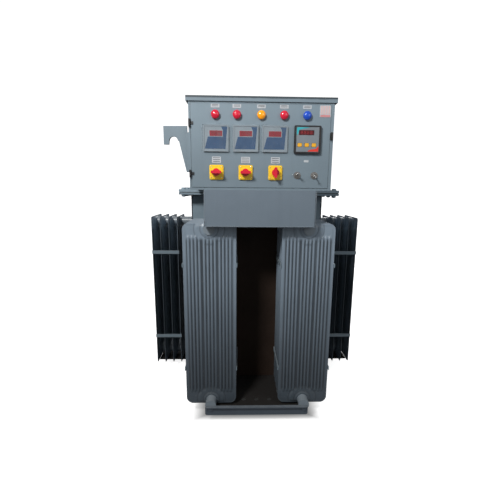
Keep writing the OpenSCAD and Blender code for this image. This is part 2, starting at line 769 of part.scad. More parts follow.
module motor_bracket() {
  plate_z0 = motor_z0 - 6;
  color([0.60, 0.60, 0.58]) difference() {
    union() {
      box(138, 228, -76, 76, plate_z0, motor_z0);
      for (x = [150, 216]) for (y = [-64, 64]) {
        cyl_z(cover_z1, plate_z0 + 0.5, x, y, 6);
        hex_z(motor_z0, motor_z0 + 6, x, y, 9);
      }
    }
    cyl_z(plate_z0 - 6, motor_z0 + 3, motor_x, 0, 16);
  }
}
module servo_motor() {
  color([0.14, 0.15, 0.17]) difference() {
    union() {
      post(motor_x, 0, 84, 84, 6, motor_z0, 1140);
      cyl_z(1140, 1236, motor_x, 0, 40);
      // cooling fins
      for (a = [0:15:345])
        translate([motor_x, 0, 1146]) rotate([0, 0, a]) translate([39, -1.2, 0])
          cube([5, 2.4, 80]);
      cyl_z(1236, 1246, motor_x, 0, 42);
      box(motor_x - 22, motor_x + 22, -62, -36, 1160, 1200);
    }
    cyl_z(motor_z0 - 1, 1112, motor_x, 0, 8.05);
  }
}
module control_gear() {
  wall_y = cab_y1 - sheet;
  color([0.78, 0.79, 0.76]) {
    // rail on the back wall
    box(-240, 100, rail_y, wall_y, 1222, 1257);
    // two contactors, two relays, a breaker and eight slim modules on the rail
    for (x = [-215, -160]) union() {
      box(x - 24, x + 24, 62, rail_y, 1200, 1282);
      box(x - 20, x + 20, 50, 62, 1222, 1260);
    }
    for (x = [-105, -75]) box(x - 12, x + 12, 74, rail_y, 1204, 1276);
    union() {
      box(-50, 10, 72, rail_y, 1198, 1282);
      box(-46, 6, 60, 72, 1226, 1254);
    }
    for (i = [0:7]) box(24 + i*8.2, 32 + i*8.2, 96, rail_y, 1212, 1266);
    // terminal strip
    difference() {
      box(-240, 60, 112, wall_y, 1140, 1172);
      for (i = [0:14]) cyl_y(110, 124, -230 + i*20, 1156, 5);
    }
    // two limit switches on the tank cover
    for (y = [-13, 13]) union() {
      box(96, 124, y - 6, y + 6, cover_z1, 1048);
      cyl_x(124, 130, y, 1042, 4);
    }
  }
}

// ---------- regulator stack in the tank ----------
module shaft_bushes() {
  color(bronze) {
    difference() {
      union() {
        cyl_z(floor_z, 84, 0, 0, 32);
        cyl_z(floor_z, 64, 0, 0, 48);
      }
      cyl_z(60, 90, 0, 0, bore_r);
    }
    difference() {
      union() {
        cyl_z(1012, 1044, 0, 0, 30);
        cyl_z(cover_z1, 1038, 0, 0, 44);
      }
      cyl_z(1010, 1050, 0, 0, bore_r);
    }
  }
}
module main_shaft() {
  color([0.62, 0.62, 0.60]) union() {
    cyl_z(60.2, 1086, 0, 0, shaft_r);
    cyl_z(1086, 1092, 0, 0, 10);
    cyl_z(84.5, 90, 0, 0, 24);
  }
}
module core_rings() {
  color([0.30, 0.31, 0.33]) for (z = stack_zs) difference() {
    cyl_z(z + 24, z + 152, 0, 0, 154);
    cyl_z(z + 20, z + 156, 0, 0, 101);
  }
}
module coil_windings() {
  color([0.70, 0.38, 0.16]) for (z = stack_zs) translate([0, 0, z + 88])
    rotate_extrude() difference() {
      translate([128, 0]) round_rect(84, 160, 14);
      translate([127.5, 0]) square([54, 130], center = true);
    }
}
module tie_rod_spots() {
  for (x = [-235, 235]) for (y = [-145, 145]) translate([x, y, 0]) children();
}
module support_frame() {
  color([0.50, 0.51, 0.50]) {
    for (z = plate_zs) difference() {
      box(-262, 262, -168, 168, z, z + 8);
      cyl_z(z - 1, z + 9, 0, 0, 60);
      tie_rod_spots() cyl_z(z - 1, z + 9, 0, 0, 10.1);
    }
    tie_rod_spots() union() {
      cyl_z(floor_z, 960, 0, 0, 10);
      // nuts below and above each plate
      for (z = plate_zs) for (nut_z = [z - 10, z + 8]) hex_z(nut_z, nut_z + 10, 0, 0, 18);
    }
  }
}
// frame of each brush arm, pointing along +X
module at_arms() {
  for (z = stack_zs) translate([0, 0, z]) rotate([0, 0, brush_angle]) children();
}
module brush_arms() {
  color(bronze) at_arms() difference() {
    union() {
      cyl_z(186, 226, 0, 0, 36);
      box(20, 152, -14, 14, 198, 212);
      box(112, 152, -18, 18, 186, 214);
    }
    cyl_z(180, 230, 0, 0, bore_r);
    box(118, 146, -12, 12, 180, 208);
  }
}
module carbon_brushes() {
  color([0.08, 0.08, 0.09]) at_arms() box(118.5, 145.5, -11.5, 11.5, 168.06, 204);
}

base_frame();
tank_shell();
cover_gasket();
tank_cover();
cover_bolts();
front_radiator_left();
front_radiator_right();
side_radiator_left();
side_radiator_right();
header_pipes();
brace_straps();
bottom_tie_bar();
oil_gauge_frame();
oil_gauge_glass();
drain_valve_body();
lifting_hooks();
terminal_box();
cable_glands();
terminal_bushings();
phase_busbars();
cabinet_shell();
cabinet_roof();
hinge_leaves_fixed();
servo_motor();
motor_bracket();
control_gear();
core_rings();
coil_windings();
support_frame();
shaft_bushes();
main_shaft();
main_gear();
brush_arms();
carbon_brushes();
motor_pinion();
door_panel();
door_gasket();
hinge_leaves_door();
device_bodies();
lamp_lenses_red();
lamp_lens_amber();
lamp_lens_blue();
meter_housings();
display_windows();
meter_covers();
controller_body();
switch_plates();
toggle_switches();
label_plates();
knob_left();
knob_middle();
knob_right();
lever_left();
lever_right();
key_left();
key_middle();
key_right();
turn_button();
filler_cap();
valve_handle();
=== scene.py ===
"""A tank with banks of ribbed radiator panels and a cabinet with a door full of meters.

Metres, +Z up, floor at z = 0. The door and the front radiators face -Y, the side radiators
stand at -X (left) and +X (right), and the plain back of the tank faces +Y.
The CAD pieces give the main bodies. This script adds materials, small parts and a studio.
"""
import bpy, math, json
import numpy as np
from mathutils import Vector, Matrix


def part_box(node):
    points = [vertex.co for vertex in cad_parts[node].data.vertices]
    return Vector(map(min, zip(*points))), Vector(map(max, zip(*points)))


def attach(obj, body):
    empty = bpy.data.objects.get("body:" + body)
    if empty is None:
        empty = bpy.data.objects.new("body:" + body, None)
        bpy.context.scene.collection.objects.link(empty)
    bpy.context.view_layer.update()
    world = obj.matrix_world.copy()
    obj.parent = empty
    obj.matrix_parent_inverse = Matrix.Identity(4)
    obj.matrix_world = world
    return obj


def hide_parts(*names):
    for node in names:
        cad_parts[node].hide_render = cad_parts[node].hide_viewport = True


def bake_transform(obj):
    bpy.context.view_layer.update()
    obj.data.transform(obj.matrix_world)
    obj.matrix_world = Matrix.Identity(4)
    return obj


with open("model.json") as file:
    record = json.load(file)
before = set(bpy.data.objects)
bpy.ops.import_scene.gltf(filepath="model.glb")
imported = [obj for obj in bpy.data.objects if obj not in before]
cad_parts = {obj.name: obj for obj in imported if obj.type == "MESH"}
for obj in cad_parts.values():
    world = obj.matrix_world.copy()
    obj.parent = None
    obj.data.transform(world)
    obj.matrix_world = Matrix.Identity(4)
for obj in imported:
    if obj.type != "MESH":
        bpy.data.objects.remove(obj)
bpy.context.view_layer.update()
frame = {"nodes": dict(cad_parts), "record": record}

NODES = frame["nodes"]
SIDES = (-1, 1)
scene = bpy.context.scene


# ------------------------------------------------------------------ shader helpers
class Shader:
    """One material's node tree, ending in a Principled shader."""
    def __init__(self, name):
        self.material = bpy.data.materials.new(name)
        self.material.use_nodes = True
        self.tree = self.material.node_tree
        self.tree.nodes.clear()
        output = self.node("ShaderNodeOutputMaterial")
        self.principled = self.node("ShaderNodeBsdfPrincipled")
        self.tree.links.new(self.principled.outputs[0], output.inputs[0])
        self.object_space = self.node("ShaderNodeTexCoord").outputs["Object"]

    def node(self, kind, **settings):
        node = self.tree.nodes.new(kind)
        for key, value in settings.items():
            setattr(node, key, value)
        return node

    def put(self, value, socket):
        """Link a socket, or set a number or an RGB colour."""
        if isinstance(value, bpy.types.NodeSocket):
            self.tree.links.new(value, socket)
        elif isinstance(value, tuple):
            socket.default_value = (*value, 1)
        else:
            socket.default_value = value

    def set(self, **inputs):
        """Set Principled inputs, with _ standing for a space."""
        for key, value in inputs.items():
            self.put(value, self.principled.inputs[key.replace("_", " ")])

    def subsurface_radius(self, radius):
        self.principled.inputs["Subsurface Radius"].default_value = radius

    def mapping(self, scale, rotation=(0, 0, 0)):
        node = self.node("ShaderNodeMapping")
        node.inputs["Scale"].default_value = scale
        node.inputs["Rotation"].default_value = rotation
        self.put(self.object_space, node.inputs["Vector"])
        return node.outputs[0]

    def noise(self, scale, detail, rough, vector=None):
        node = self.node("ShaderNodeTexNoise")
        node.inputs["Scale"].default_value = scale
        node.inputs["Detail"].default_value = detail
        node.inputs["Roughness"].default_value = rough
        self.put(vector or self.object_space, node.inputs["Vector"])
        return node.outputs["Fac"]

    def math(self, operation, a, b=0.0, clamp=False):
        node = self.node("ShaderNodeMath", operation=operation)
        node.use_clamp = clamp
        for value, socket in zip((a, b, 0.0), node.inputs):
            self.put(value, socket)
        return node.outputs[0]

    def add(self, a, b, clamp=False):
        return self.math("ADD", a, b, clamp)

    def subtract(self, a, b, clamp=False):
        return self.math("SUBTRACT", a, b, clamp)

    def times(self, a, b, clamp=False):
        return self.math("MULTIPLY", a, b, clamp)

    def swing(self, value, amount):
        """A 0 to 1 value moved to lie about zero, then scaled."""
        return self.times(self.subtract(value, 0.5), amount)

    def ramp(self, value, stops):
        """stops: (position, RGB colour) pairs."""
        node = self.node("ShaderNodeValToRGB")
        elements = node.color_ramp.elements
        while len(elements) > 1:
            elements.remove(elements[-1])
        for i, (position, colour) in enumerate(stops):
            element = elements[0] if i == 0 else elements.new(position)
            element.position = position
            element.color = (*colour, 1)
        self.put(value, node.inputs[0])
        return node.outputs[0]

    def fade(self, value, start, end, low=0.0, high=1.0):
        """Grey ramp from low at start to high at end."""
        return self.ramp(value, [(start, (low,) * 3), (end, (high,) * 3)])

    def mix(self, amount, under, over, mode="MIX"):
        node = self.node("ShaderNodeMix", data_type="RGBA", blend_type=mode)
        for value, index in ((amount, 0), (under, 6), (over, 7)):
            self.put(value, node.inputs[index])
        return node.outputs[2]

    def edges(self, radius, gain):
        """0 on flats, 1 on sharp outside and inside edges."""
        bevel = self.node("ShaderNodeBevel")
        bevel.samples = 4
        bevel.inputs["Radius"].default_value = radius
        geometry = self.node("ShaderNodeNewGeometry")
        dot = self.node("ShaderNodeVectorMath", operation="DOT_PRODUCT")
        self.put(bevel.outputs[0], dot.inputs[0])
        self.put(geometry.outputs["Normal"], dot.inputs[1])
        return self.times(self.subtract(1.0, dot.outputs["Value"]), gain, clamp=True)

    def geometry(self, output, axis):
        """One axis of the world-space Normal or Position."""
        geometry = self.node("ShaderNodeNewGeometry")
        separate = self.node("ShaderNodeSeparateXYZ")
        self.put(geometry.outputs[output], separate.inputs[0])
        return separate.outputs[axis]

    def up(self):
        """1 on faces that look up, 0 on upright and downward ones."""
        return self.math("MAXIMUM", self.geometry("Normal", "Z"), 0.0)

    def height(self):
        return self.geometry("Position", "Z")

    def uneven_height(self, scale, detail, rough, amount):
        return self.add(self.height(), self.swing(self.noise(scale, detail, rough), amount))

    def span(self, value, start, end, low=0.0, high=1.0):
        """Smooth change from low at start to high at end."""
        node = self.node("ShaderNodeMapRange", interpolation_type="SMOOTHSTEP")
        for number, socket in zip((value, start, end, low, high), node.inputs):
            self.put(number, socket)
        return node.outputs[0]

    def attribute(self, name):
        return self.node("ShaderNodeAttribute", attribute_name=name).outputs["Fac"]

    def bump(self, height, strength, distance):
        node = self.node("ShaderNodeBump")
        node.inputs["Strength"].default_value = strength
        node.inputs["Distance"].default_value = distance
        self.put(height, node.inputs["Height"])
        return node.outputs[0]


def scaled(colour, factor):
    return tuple(min(1.0, channel * factor) for channel in colour)


# ------------------------------------------------------------------ kinds of surface
CHIP = (0.30, 0.29, 0.27)    # bare steel where paint has rubbed off


def paint(name, base, rough, var=0.10, wear=0.5, dust=0.25, dust_colour=(0.42, 0.40, 0.36),
          streak=0.25, coat=0.25, specular=0.45, shade=None, painted_groove_shade=None, upper=None,
          rim=None, lower=None):
    """Sprayed enamel: uneven tone, orange peel, rubbed edges, dust and faint runs.

    var: tone variation          shade: painted light by height, (low z, high z, tone at low z, tone at high z)
    painted_groove_shade: (amount, colour) of painted shade in the grooves, hub rings, pressed step
    and rims marked by the "cav" attribute
    upper, lower: (z, colour) of a second colour above or below z; the tank's dark body under its
    grey band and the straps' dark foot are painted shade
    rim: height above which upright faces turn dark
    """
    sh = Shader(name)
    patches = sh.noise(scale=3.1, detail=3, rough=0.5)
    mottle = sh.noise(scale=17.0, detail=5, rough=0.6)
    tone = sh.add(sh.times(patches, 0.65), sh.times(mottle, 0.35))

    def mottled(paint_colour):
        return sh.ramp(tone, [(0.30, scaled(paint_colour, 1 - var)), (0.50, paint_colour),
                              (0.72, scaled(paint_colour, 1 + var))])

    colour = mottled(base)
    # runs, drawn out downwards
    runs = sh.noise(scale=1.0, detail=6, rough=0.62, vector=sh.mapping(scale=(46, 46, 1.8)))
    runs = sh.times(sh.fade(runs, start=0.50, end=0.78), streak)
    colour = sh.mix(runs, colour, scaled(base, 0.66))
    if upper:
        # met along a slightly uneven line
        z, upper_colour = upper
        level = sh.uneven_height(scale=40.0, detail=3, rough=0.5, amount=0.006)
        upper_colour = mottled(upper_colour)
        colour = sh.mix(sh.span(level, z - 0.003, z + 0.003), colour, upper_colour)
    if lower:
        z, lower_colour = lower
        below = sh.span(sh.height(), z - 0.002, z + 0.002, low=1.0, high=0.0)
        colour = sh.mix(below, colour, lower_colour)
    if shade:
        # painted light: the colour is scaled by height, lighter high up and darker low down, as
        # light falls from above
        # a ramp to 2 undoes the halving, so that tones above 1 survive it
        factor = sh.span(sh.height(), *shade)
        factor = sh.fade(sh.times(factor, 0.5), start=0.0, end=1.0, high=2.0)
        colour = sh.mix(1.0, colour, factor, "MULTIPLY")
    if painted_groove_shade:
        # painted shade: the grooves and creases marked by the cav attribute are darkened, in uneven
        # patches
        amount, groove_shade_colour = painted_groove_shade
        groove = sh.attribute("cav")
        shade_breakup = sh.noise(scale=30.0, detail=5, rough=0.6, vector=sh.mapping(scale=(1, 1, 0.12)))
        shade_breakup = sh.times(groove, sh.fade(shade_breakup, start=0.25, end=0.7, low=0.72))
        colour = sh.mix(sh.times(shade_breakup, amount, clamp=True), colour, groove_shade_colour)
    if rim:
        level = sh.uneven_height(scale=26.0, detail=4, rough=0.6, amount=0.004)
        band = sh.times(sh.span(level, rim - 0.0012, rim + 0.0008),
                        sh.subtract(1.0, sh.up(), clamp=True))
        colour = sh.mix(sh.times(band, 0.85), colour, scaled(base, 0.18))
    # fine specks, then dust lying on upward faces
    specks = sh.fade(sh.noise(scale=330.0, detail=2, rough=0.5), start=0.66, end=0.74)
    colour = sh.mix(sh.times(specks, 0.30), colour, scaled(dust_colour, 0.9))
    drifts = sh.fade(sh.noise(scale=24.0, detail=6, rough=0.65), start=0.30, end=0.75, low=0.15)
    dusty = sh.times(sh.times(sh.up(), drifts), dust)
    colour = sh.mix(dusty, colour, dust_colour)
    # paint rubbed off the edges
    flakes = sh.fade(sh.noise(scale=120.0, detail=5, rough=0.7), start=0.50, end=0.60)
    worn = sh.times(sh.edges(radius=0.0014, gain=6.0), flakes)
    worn = sh.times(worn, wear, clamp=True)
    colour = sh.mix(worn, colour, CHIP)
    # hairline scratches: the thin band of a stretched, tilted noise
    hairs = sh.noise(scale=1.0, detail=3, rough=0.5,
                     vector=sh.mapping(scale=(900, 900, 22), rotation=(0.5, 0.35, 0.2)))
    hairs = sh.ramp(hairs, [(0.70, (0, 0, 0)), (0.735, (1, 1, 1)), (0.77, (0, 0, 0))])
    colour = sh.mix(sh.times(hairs, 0.12), colour, scaled(base, 1.55))
    roughness = sh.add(rough, sh.swing(mottle, amount=0.22))
    roughness = sh.add(roughness, sh.times(sh.add(dusty, worn), 0.35), clamp=True)
    # orange peel over a slower wave, sunk where the paint is gone
    peel = sh.times(sh.noise(scale=420.0, detail=2, rough=0.4), 1.0)
    wave = sh.times(sh.noise(scale=60.0, detail=3, rough=0.5), 1.6)
    relief = sh.subtract(sh.add(peel, wave), sh.times(worn, 0.8))
    sh.set(Base_Color=colour, Roughness=roughness,
           Normal=sh.bump(relief, strength=0.10, distance=0.0006),
           Coat_Weight=coat, Coat_Roughness=0.22, Specular_IOR_Level=specular)
    return sh.material


def metal(name, base, rough, grain, tarnish, amount, bump):
    """Brushed metal with patches of tarnish. grain: noise scale along X, Y, Z."""
    sh = Shader(name)
    brushing = sh.noise(scale=3.0, detail=4, rough=0.6, vector=sh.mapping(scale=grain))
    patches = sh.noise(scale=38.0, detail=6, rough=0.65)
    colour = sh.ramp(brushing, [(0.25, scaled(base, 0.80)), (0.75, scaled(base, 1.12))])
    tarnished = sh.times(sh.fade(patches, start=0.48, end=0.74), amount)
    colour = sh.mix(tarnished, colour, tarnish)
    bright = sh.times(sh.edges(radius=0.0008, gain=6.0), 0.45)
    colour = sh.mix(bright, colour, scaled(base, 1.35))
    roughness = sh.add(rough, sh.swing(brushing, amount=0.25))
    roughness = sh.add(roughness, sh.times(tarnished, 0.45), clamp=True)
    pits = sh.times(sh.noise(scale=700.0, detail=2, rough=0.5), 0.5)
    sh.set(Base_Color=colour, Metallic=sh.subtract(1.0, sh.times(tarnished, 0.6)),
           Roughness=roughness,
           Normal=sh.bump(sh.add(brushing, pits), strength=bump, distance=0.0004))
    return sh.material


def plastic(name, base, rough, grain, var, bump, glow=0.0, coat=0.0, dust=0.15):
    """Moulded or printed surface. grain: noise scale of its fine texture."""
    sh = Shader(name)
    mottle = sh.noise(scale=21.0, detail=5, rough=0.6)
    colour = sh.ramp(mottle, [(0.3, scaled(base, 1 - var)), (0.7, scaled(base, 1 + var))])
    specks = sh.fade(sh.noise(scale=240.0, detail=3, rough=0.6), start=0.62, end=0.72)
    colour = sh.mix(sh.times(specks, dust), colour, (0.45, 0.43, 0.40))
    bright = sh.times(sh.edges(radius=0.0006, gain=5.0), 0.25)
    colour = sh.mix(bright, colour, scaled(base, 1.5))
    roughness = sh.add(rough, sh.swing(mottle, amount=0.25), clamp=True)
    texture = sh.noise(scale=grain, detail=2, rough=0.5)
    sh.set(Base_Color=colour, Roughness=roughness,
           Normal=sh.bump(texture, strength=bump, distance=0.0003),
           Coat_Weight=coat, Coat_Roughness=0.08)
    if glow:
        sh.set(Emission_Color=colour, Emission_Strength=glow)
    return sh.material


def lens(name, base, glow):
    """Back-lit lamp cap, brighter face on and darker towards its outline."""
    sh = Shader(name)
    weight = sh.node("ShaderNodeLayerWeight")
    weight.inputs["Blend"].default_value = 0.35
    colour = sh.ramp(weight.outputs["Facing"],
                     [(0.0, scaled(base, 1.25)), (0.55, base), (1.0, scaled(base, 0.5))])
    cloud = sh.fade(sh.noise(scale=160.0, detail=4, rough=0.6), start=0.35, end=0.8, high=0.35)
    colour = sh.mix(cloud, colour, scaled(base, 0.6))
    smears = sh.times(sh.noise(scale=90.0, detail=3, rough=0.5), 0.12)
    texture = sh.noise(scale=500.0, detail=2, rough=0.5)
    sh.set(Base_Color=colour, Roughness=sh.add(0.14, smears),
           Coat_Weight=0.6, Coat_Roughness=0.05,
           Normal=sh.bump(texture, strength=0.05, distance=0.0003),
           Emission_Color=colour, Emission_Strength=glow, Subsurface_Weight=0.15)
    sh.subsurface_radius((0.006, 0.003, 0.003))
    return sh.material


def clear(name, tint, alpha):
    """Clear acrylic or glass, seen through by alpha, with smears and denser edges."""
    sh = Shader(name)
    smears = sh.noise(scale=34.0, detail=5, rough=0.65)
    opacity = sh.add(alpha, sh.times(sh.fade(smears, start=0.5, end=0.85), 0.10))
    rims = sh.times(sh.edges(radius=0.0012, gain=5.0), 0.45)
    opacity = sh.add(opacity, rims, clamp=True)
    waves = sh.noise(scale=12.0, detail=2, rough=0.5)
    sh.set(Base_Color=sh.mix(smears, tint, scaled(tint, 0.9)), Alpha=opacity,
           Roughness=sh.add(0.05, sh.times(smears, 0.10)),
           Normal=sh.bump(waves, strength=0.05, distance=0.001), Specular_IOR_Level=0.7)
    return sh.material


# ------------------------------------------------------------------ material tables
GREY = (0.208, 0.270, 0.316)
PAINTS = {
    # cabinet grey: painted shade, darker towards the foot of the cabinet as the light falls from
    # above
    "grey_enamel": dict(base=GREY, rough=0.50, var=0.06, streak=0.12, coat=0.02, specular=0.28,
                        shade=(1.03, 1.36, 0.86, 1.02)),
    "roof_enamel": dict(base=scaled(GREY, 0.94), rough=0.46, var=0.08, streak=0.10, dust=0.4,
                        rim=1.3668, coat=0.05, specular=0.3),
    # tank cover, its bolts and washers: the grey made lighter, a painted lit copy of the grey enamel
    "cover_enamel": dict(base=scaled(GREY, 1.32), rough=0.42, streak=0.05, dust=0.4),
    "hook_enamel": dict(base=scaled(GREY, 0.94), rough=0.42, var=0.09, streak=0.18, coat=0.1),
    # terminal box: a darker copy of the grey, painted shade low under the cabinet
    "box_enamel": dict(base=(0.158, 0.199, 0.241), rough=0.46, var=0.06, streak=0.14,
                       coat=0.04, specular=0.35),
    # front radiators: painted light falloff, darker towards the foot, and painted shade in the
    # grooves, hub rings and pressed step
    "radiator_enamel": dict(base=(0.150, 0.190, 0.232), rough=0.38, var=0.12, wear=0.6,
                            coat=0.10, shade=(0.10, 0.80, 0.48, 1.50),
                            painted_groove_shade=(0.90, (0.026, 0.031, 0.037))),
    "pipe_enamel": dict(base=(0.22, 0.262, 0.300), rough=0.34, wear=0.6, streak=0.2),
    # side radiators: painted light, lighter towards the top, and painted shade in the grooves and on
    # the rolled rims
    "charcoal_enamel": dict(base=(0.152, 0.196, 0.240), rough=0.40, var=0.18, wear=0.2,
                            dust=0.2, dust_colour=(0.24, 0.27, 0.29), streak=0.2, coat=0.05,
                            specular=0.3, shade=(0.55, 0.86, 0.84, 1.6),
                            painted_groove_shade=(0.80, (0.022, 0.027, 0.032))),
    # tank: the dark brown body is painted shade for the deep gap between the front banks; the band
    # above z 0.884 is the grey paint
    "tank_paint": dict(base=(0.040, 0.027, 0.021), rough=0.50, var=0.25, wear=0.15, dust=0.15,
                       dust_colour=(0.08, 0.065, 0.05), upper=(0.884, scaled(GREY, 0.92)),
                       coat=0.0, specular=0.12),
    # near-black paint of the base frame; on its tray and shelves under the banks it stands in as
    # painted shade
    "channel_paint": dict(base=(0.026, 0.024, 0.023), rough=0.55, wear=0.4, dust=0.12,
                          dust_colour=(0.05, 0.047, 0.045), coat=0.0, specular=0.12),
    "bar_paint": dict(base=(0.078, 0.100, 0.128), rough=0.40, wear=0.6, dust=0.55,
                      dust_colour=(0.30, 0.32, 0.33)),
    "valve_red": dict(base=(0.42, 0.03, 0.02), rough=0.3, wear=0.9),
    "motor_paint": dict(base=(0.045, 0.052, 0.060), rough=0.38),
    # straps: the near-black below z 0.100 is painted shade at the foot of the side banks
    "strap_steel": dict(base=(0.192, 0.252, 0.294), rough=0.40, var=0.12, wear=0.6, dust=0.3,
                        streak=0.1, coat=0.1, lower=(0.100, (0.012, 0.014, 0.016))),
}
METALS = {
    # name: base colour, roughness, grain scale, tarnish colour, tarnish amount, bump
    "zinc_plate": ((0.60, 0.60, 0.58), 0.34, (30, 30, 30), (0.28, 0.26, 0.20), 0.4, 0.12),
    "gauge_metal": ((0.62, 0.63, 0.64), 0.40, (60, 60, 60), (0.24, 0.24, 0.23), 0.3, 0.25),
    "bronze": ((0.58, 0.42, 0.17), 0.32, (8, 8, 220), (0.20, 0.12, 0.05), 0.45, 0.12),
    "copper": ((0.72, 0.36, 0.20), 0.34, (12, 12, 200), (0.22, 0.09, 0.05), 0.4, 0.12),
    "hinge_black": ((0.072, 0.074, 0.077), 0.45, (40, 40, 160), (0.02, 0.018, 0.016), 0.4, 0.12),
    "core_steel": ((0.24, 0.25, 0.27), 0.40, (3, 3, 900), (0.09, 0.08, 0.07), 0.3, 0.5),
    "shaft_steel": ((0.55, 0.55, 0.54), 0.22, (3, 3, 500), (0.25, 0.22, 0.17), 0.2, 0.12),
    "gear_steel": ((0.44, 0.44, 0.43), 0.34, (90, 90, 90), (0.16, 0.13, 0.09), 0.4, 0.12),
    "nickel": ((0.90, 0.90, 0.89), 0.26, (20, 20, 60), (0.34, 0.31, 0.26), 0.15, 0.04),
    # darker than the nickel: partly a duller finish on the bushes and nuts, partly painted shade
    # round the levers
    "nickel_dull_shaded": ((0.40, 0.39, 0.38), 0.34, (20, 20, 60), (0.12, 0.11, 0.09), 0.5, 0.1),
    "button_grey": ((0.105, 0.104, 0.102), 0.42, (40, 40, 160), (0.05, 0.045, 0.04), 0.4, 0.12),
    "weld": ((0.14, 0.15, 0.16), 0.45, (120, 120, 120), (0.05, 0.045, 0.04), 0.5, 0.5),
    "plate_alu": ((0.60, 0.61, 0.62), 0.30, (400, 400, 4), (0.35, 0.35, 0.34), 0.2, 0.12),
}
PLASTICS = {
    # name: base colour, roughness, grain scale, tone variation, bump, further settings
    "cork_rubber": ((0.030, 0.028, 0.026), 0.75, 500.0, 0.2, 0.35, {}),
    "black_plastic": ((0.022, 0.022, 0.024), 0.42, 1200.0, 0.15, 0.20, {}),
    "porcelain": ((0.19, 0.060, 0.028), 0.12, 60.0, 0.2, 0.05, dict(coat=0.8)),
    "device_grey": ((0.52, 0.52, 0.49), 0.45, 1100.0, 0.08, 0.15, {}),
    "carbon": ((0.020, 0.020, 0.021), 0.55, 900.0, 0.2, 0.4, {}),
    "meter_face": ((0.25, 0.30, 0.34), 0.30, 700.0, 0.06, 0.06, dict(coat=0.3)),
    "red_window": ((0.27, 0.020, 0.032), 0.12, 60.0, 0.15, 0.03,
                   dict(glow=0.08, coat=0.8, dust=0.05)),
    "switch_yellow": ((0.98, 0.63, 0.030), 0.25, 800.0, 0.05, 0.05, dict(coat=0.4)),
    "knob_red": ((0.70, 0.016, 0.040), 0.25, 700.0, 0.08, 0.06, dict(coat=0.5)),
    "label_white": ((0.50, 0.53, 0.56), 0.40, 300.0, 0.05, 0.06, {}),
    "key_orange": ((0.88, 0.44, 0.025), 0.4, 900.0, 0.08, 0.12, {}),
    "decal_navy": ((0.034, 0.082, 0.175), 0.25, 500.0, 0.10, 0.04, dict(coat=0.3, dust=0.04)),
    "decal_teal": ((0.035, 0.40, 0.46), 0.28, 500.0, 0.12, 0.04, dict(coat=0.4)),
    "decal_red": ((0.72, 0.045, 0.030), 0.3, 500.0, 0.10, 0.04, dict(coat=0.3)),
    "panel_silver": ((0.208, 0.240, 0.268), 0.34, 700.0, 0.05, 0.06, dict(coat=0.2, dust=0.04)),
    "meter_print": ((0.36, 0.41, 0.45), 0.34, 700.0, 0.05, 0.06, dict(coat=0.2, dust=0.04)),
    "smoked_red": ((0.085, 0.014, 0.018), 0.14, 60.0, 0.15, 0.03, dict(coat=0.8, dust=0.05)),
    "segment_lit": ((0.40, 0.026, 0.034), 0.3, 400.0, 0.1, 0.03, dict(dust=0.0, glow=0.05)),
    "segment": ((0.13, 0.010, 0.014), 0.3, 400.0, 0.1, 0.03, dict(dust=0.0)),
    "label_pink": ((0.62, 0.46, 0.46), 0.4, 300.0, 0.10, 0.06, {}),
    "label_red": ((0.62, 0.26, 0.27), 0.4, 300.0, 0.10, 0.06, {}),
    "label_line": ((0.055, 0.065, 0.080), 0.4, 300.0, 0.05, 0.04, dict(dust=0.03)),
    "sleeve": ((0.028, 0.028, 0.030), 0.5, 300.0, 0.15, 0.3, {}),
    "wire_red": ((0.50, 0.022, 0.018), 0.35, 300.0, 0.1, 0.06, {}),
    "wire_yellow": ((0.72, 0.52, 0.03), 0.35, 300.0, 0.1, 0.06, {}),
    "wire_blue": ((0.02, 0.07, 0.32), 0.35, 300.0, 0.1, 0.06, {}),
}
LENSES = {
    # name: base colour, glow
    "red_lens": ((0.52, 0.012, 0.036), 0.20),
    "amber_lens": ((0.85, 0.30, 0.008), 0.24),
    "blue_lens": ((0.012, 0.065, 0.42), 0.20),
}
CLEARS = {
    # name: tint, alpha
    "clear_cover": ((0.42, 0.46, 0.48), 0.035),
    "gauge_glass": ((0.80, 0.72, 0.40), 0.35),
}
MATERIALS = {name: paint(name, **look) for name, look in PAINTS.items()}
MATERIALS.update({name: metal(name, *look) for name, look in METALS.items()})
MATERIALS.update({name: plastic(name, *look, **more) for name, (*look, more) in PLASTICS.items()})
MATERIALS.update({name: lens(name, *look) for name, look in LENSES.items()})
MATERIALS.update({name: clear(name, *look) for name, look in CLEARS.items()})


# ------------------------------------------------------------------ CAD pieces
# edge round: pieces that have it
EDGE_ROUNDS = {
    0.0012: "tank_cover cabinet_roof lifting_hooks base_frame tank_shell filler_cap",
    0.0010: "bottom_tie_bar",
    0.0009: "valve_handle knob_left knob_middle knob_right",
    0.0008: "cabinet_shell terminal_box brace_straps control_gear support_frame",
    0.0006: "cover_bolts switch_plates controller_body drain_valve_body servo_motor "
            "motor_bracket device_bodies",
    0.0005: "meter_housings turn_button key_left key_middle key_right",
    0.0004: "meter_covers",
    0.0003: "hinge_leaves_door hinge_leaves_fixed toggle_switches",
    0.0002: "label_plates",
}
ROUND_OF = {name: width for width, names in EDGE_ROUNDS.items() for name in names.split()}
SLOT_OF = {part["node"]: part["material_slot"] for part in frame["record"]["subparts"]}
# pieces whose material differs from their slot's
NODE_MATERIAL = {
    "cabinet_roof": "roof_enamel", "tank_cover": "cover_enamel", "lifting_hooks": "hook_enamel",
    "header_pipes": "pipe_enamel", "cover_bolts": "cover_enamel",
    "toggle_switches": "nickel_dull_shaded", "turn_button": "button_grey",
}


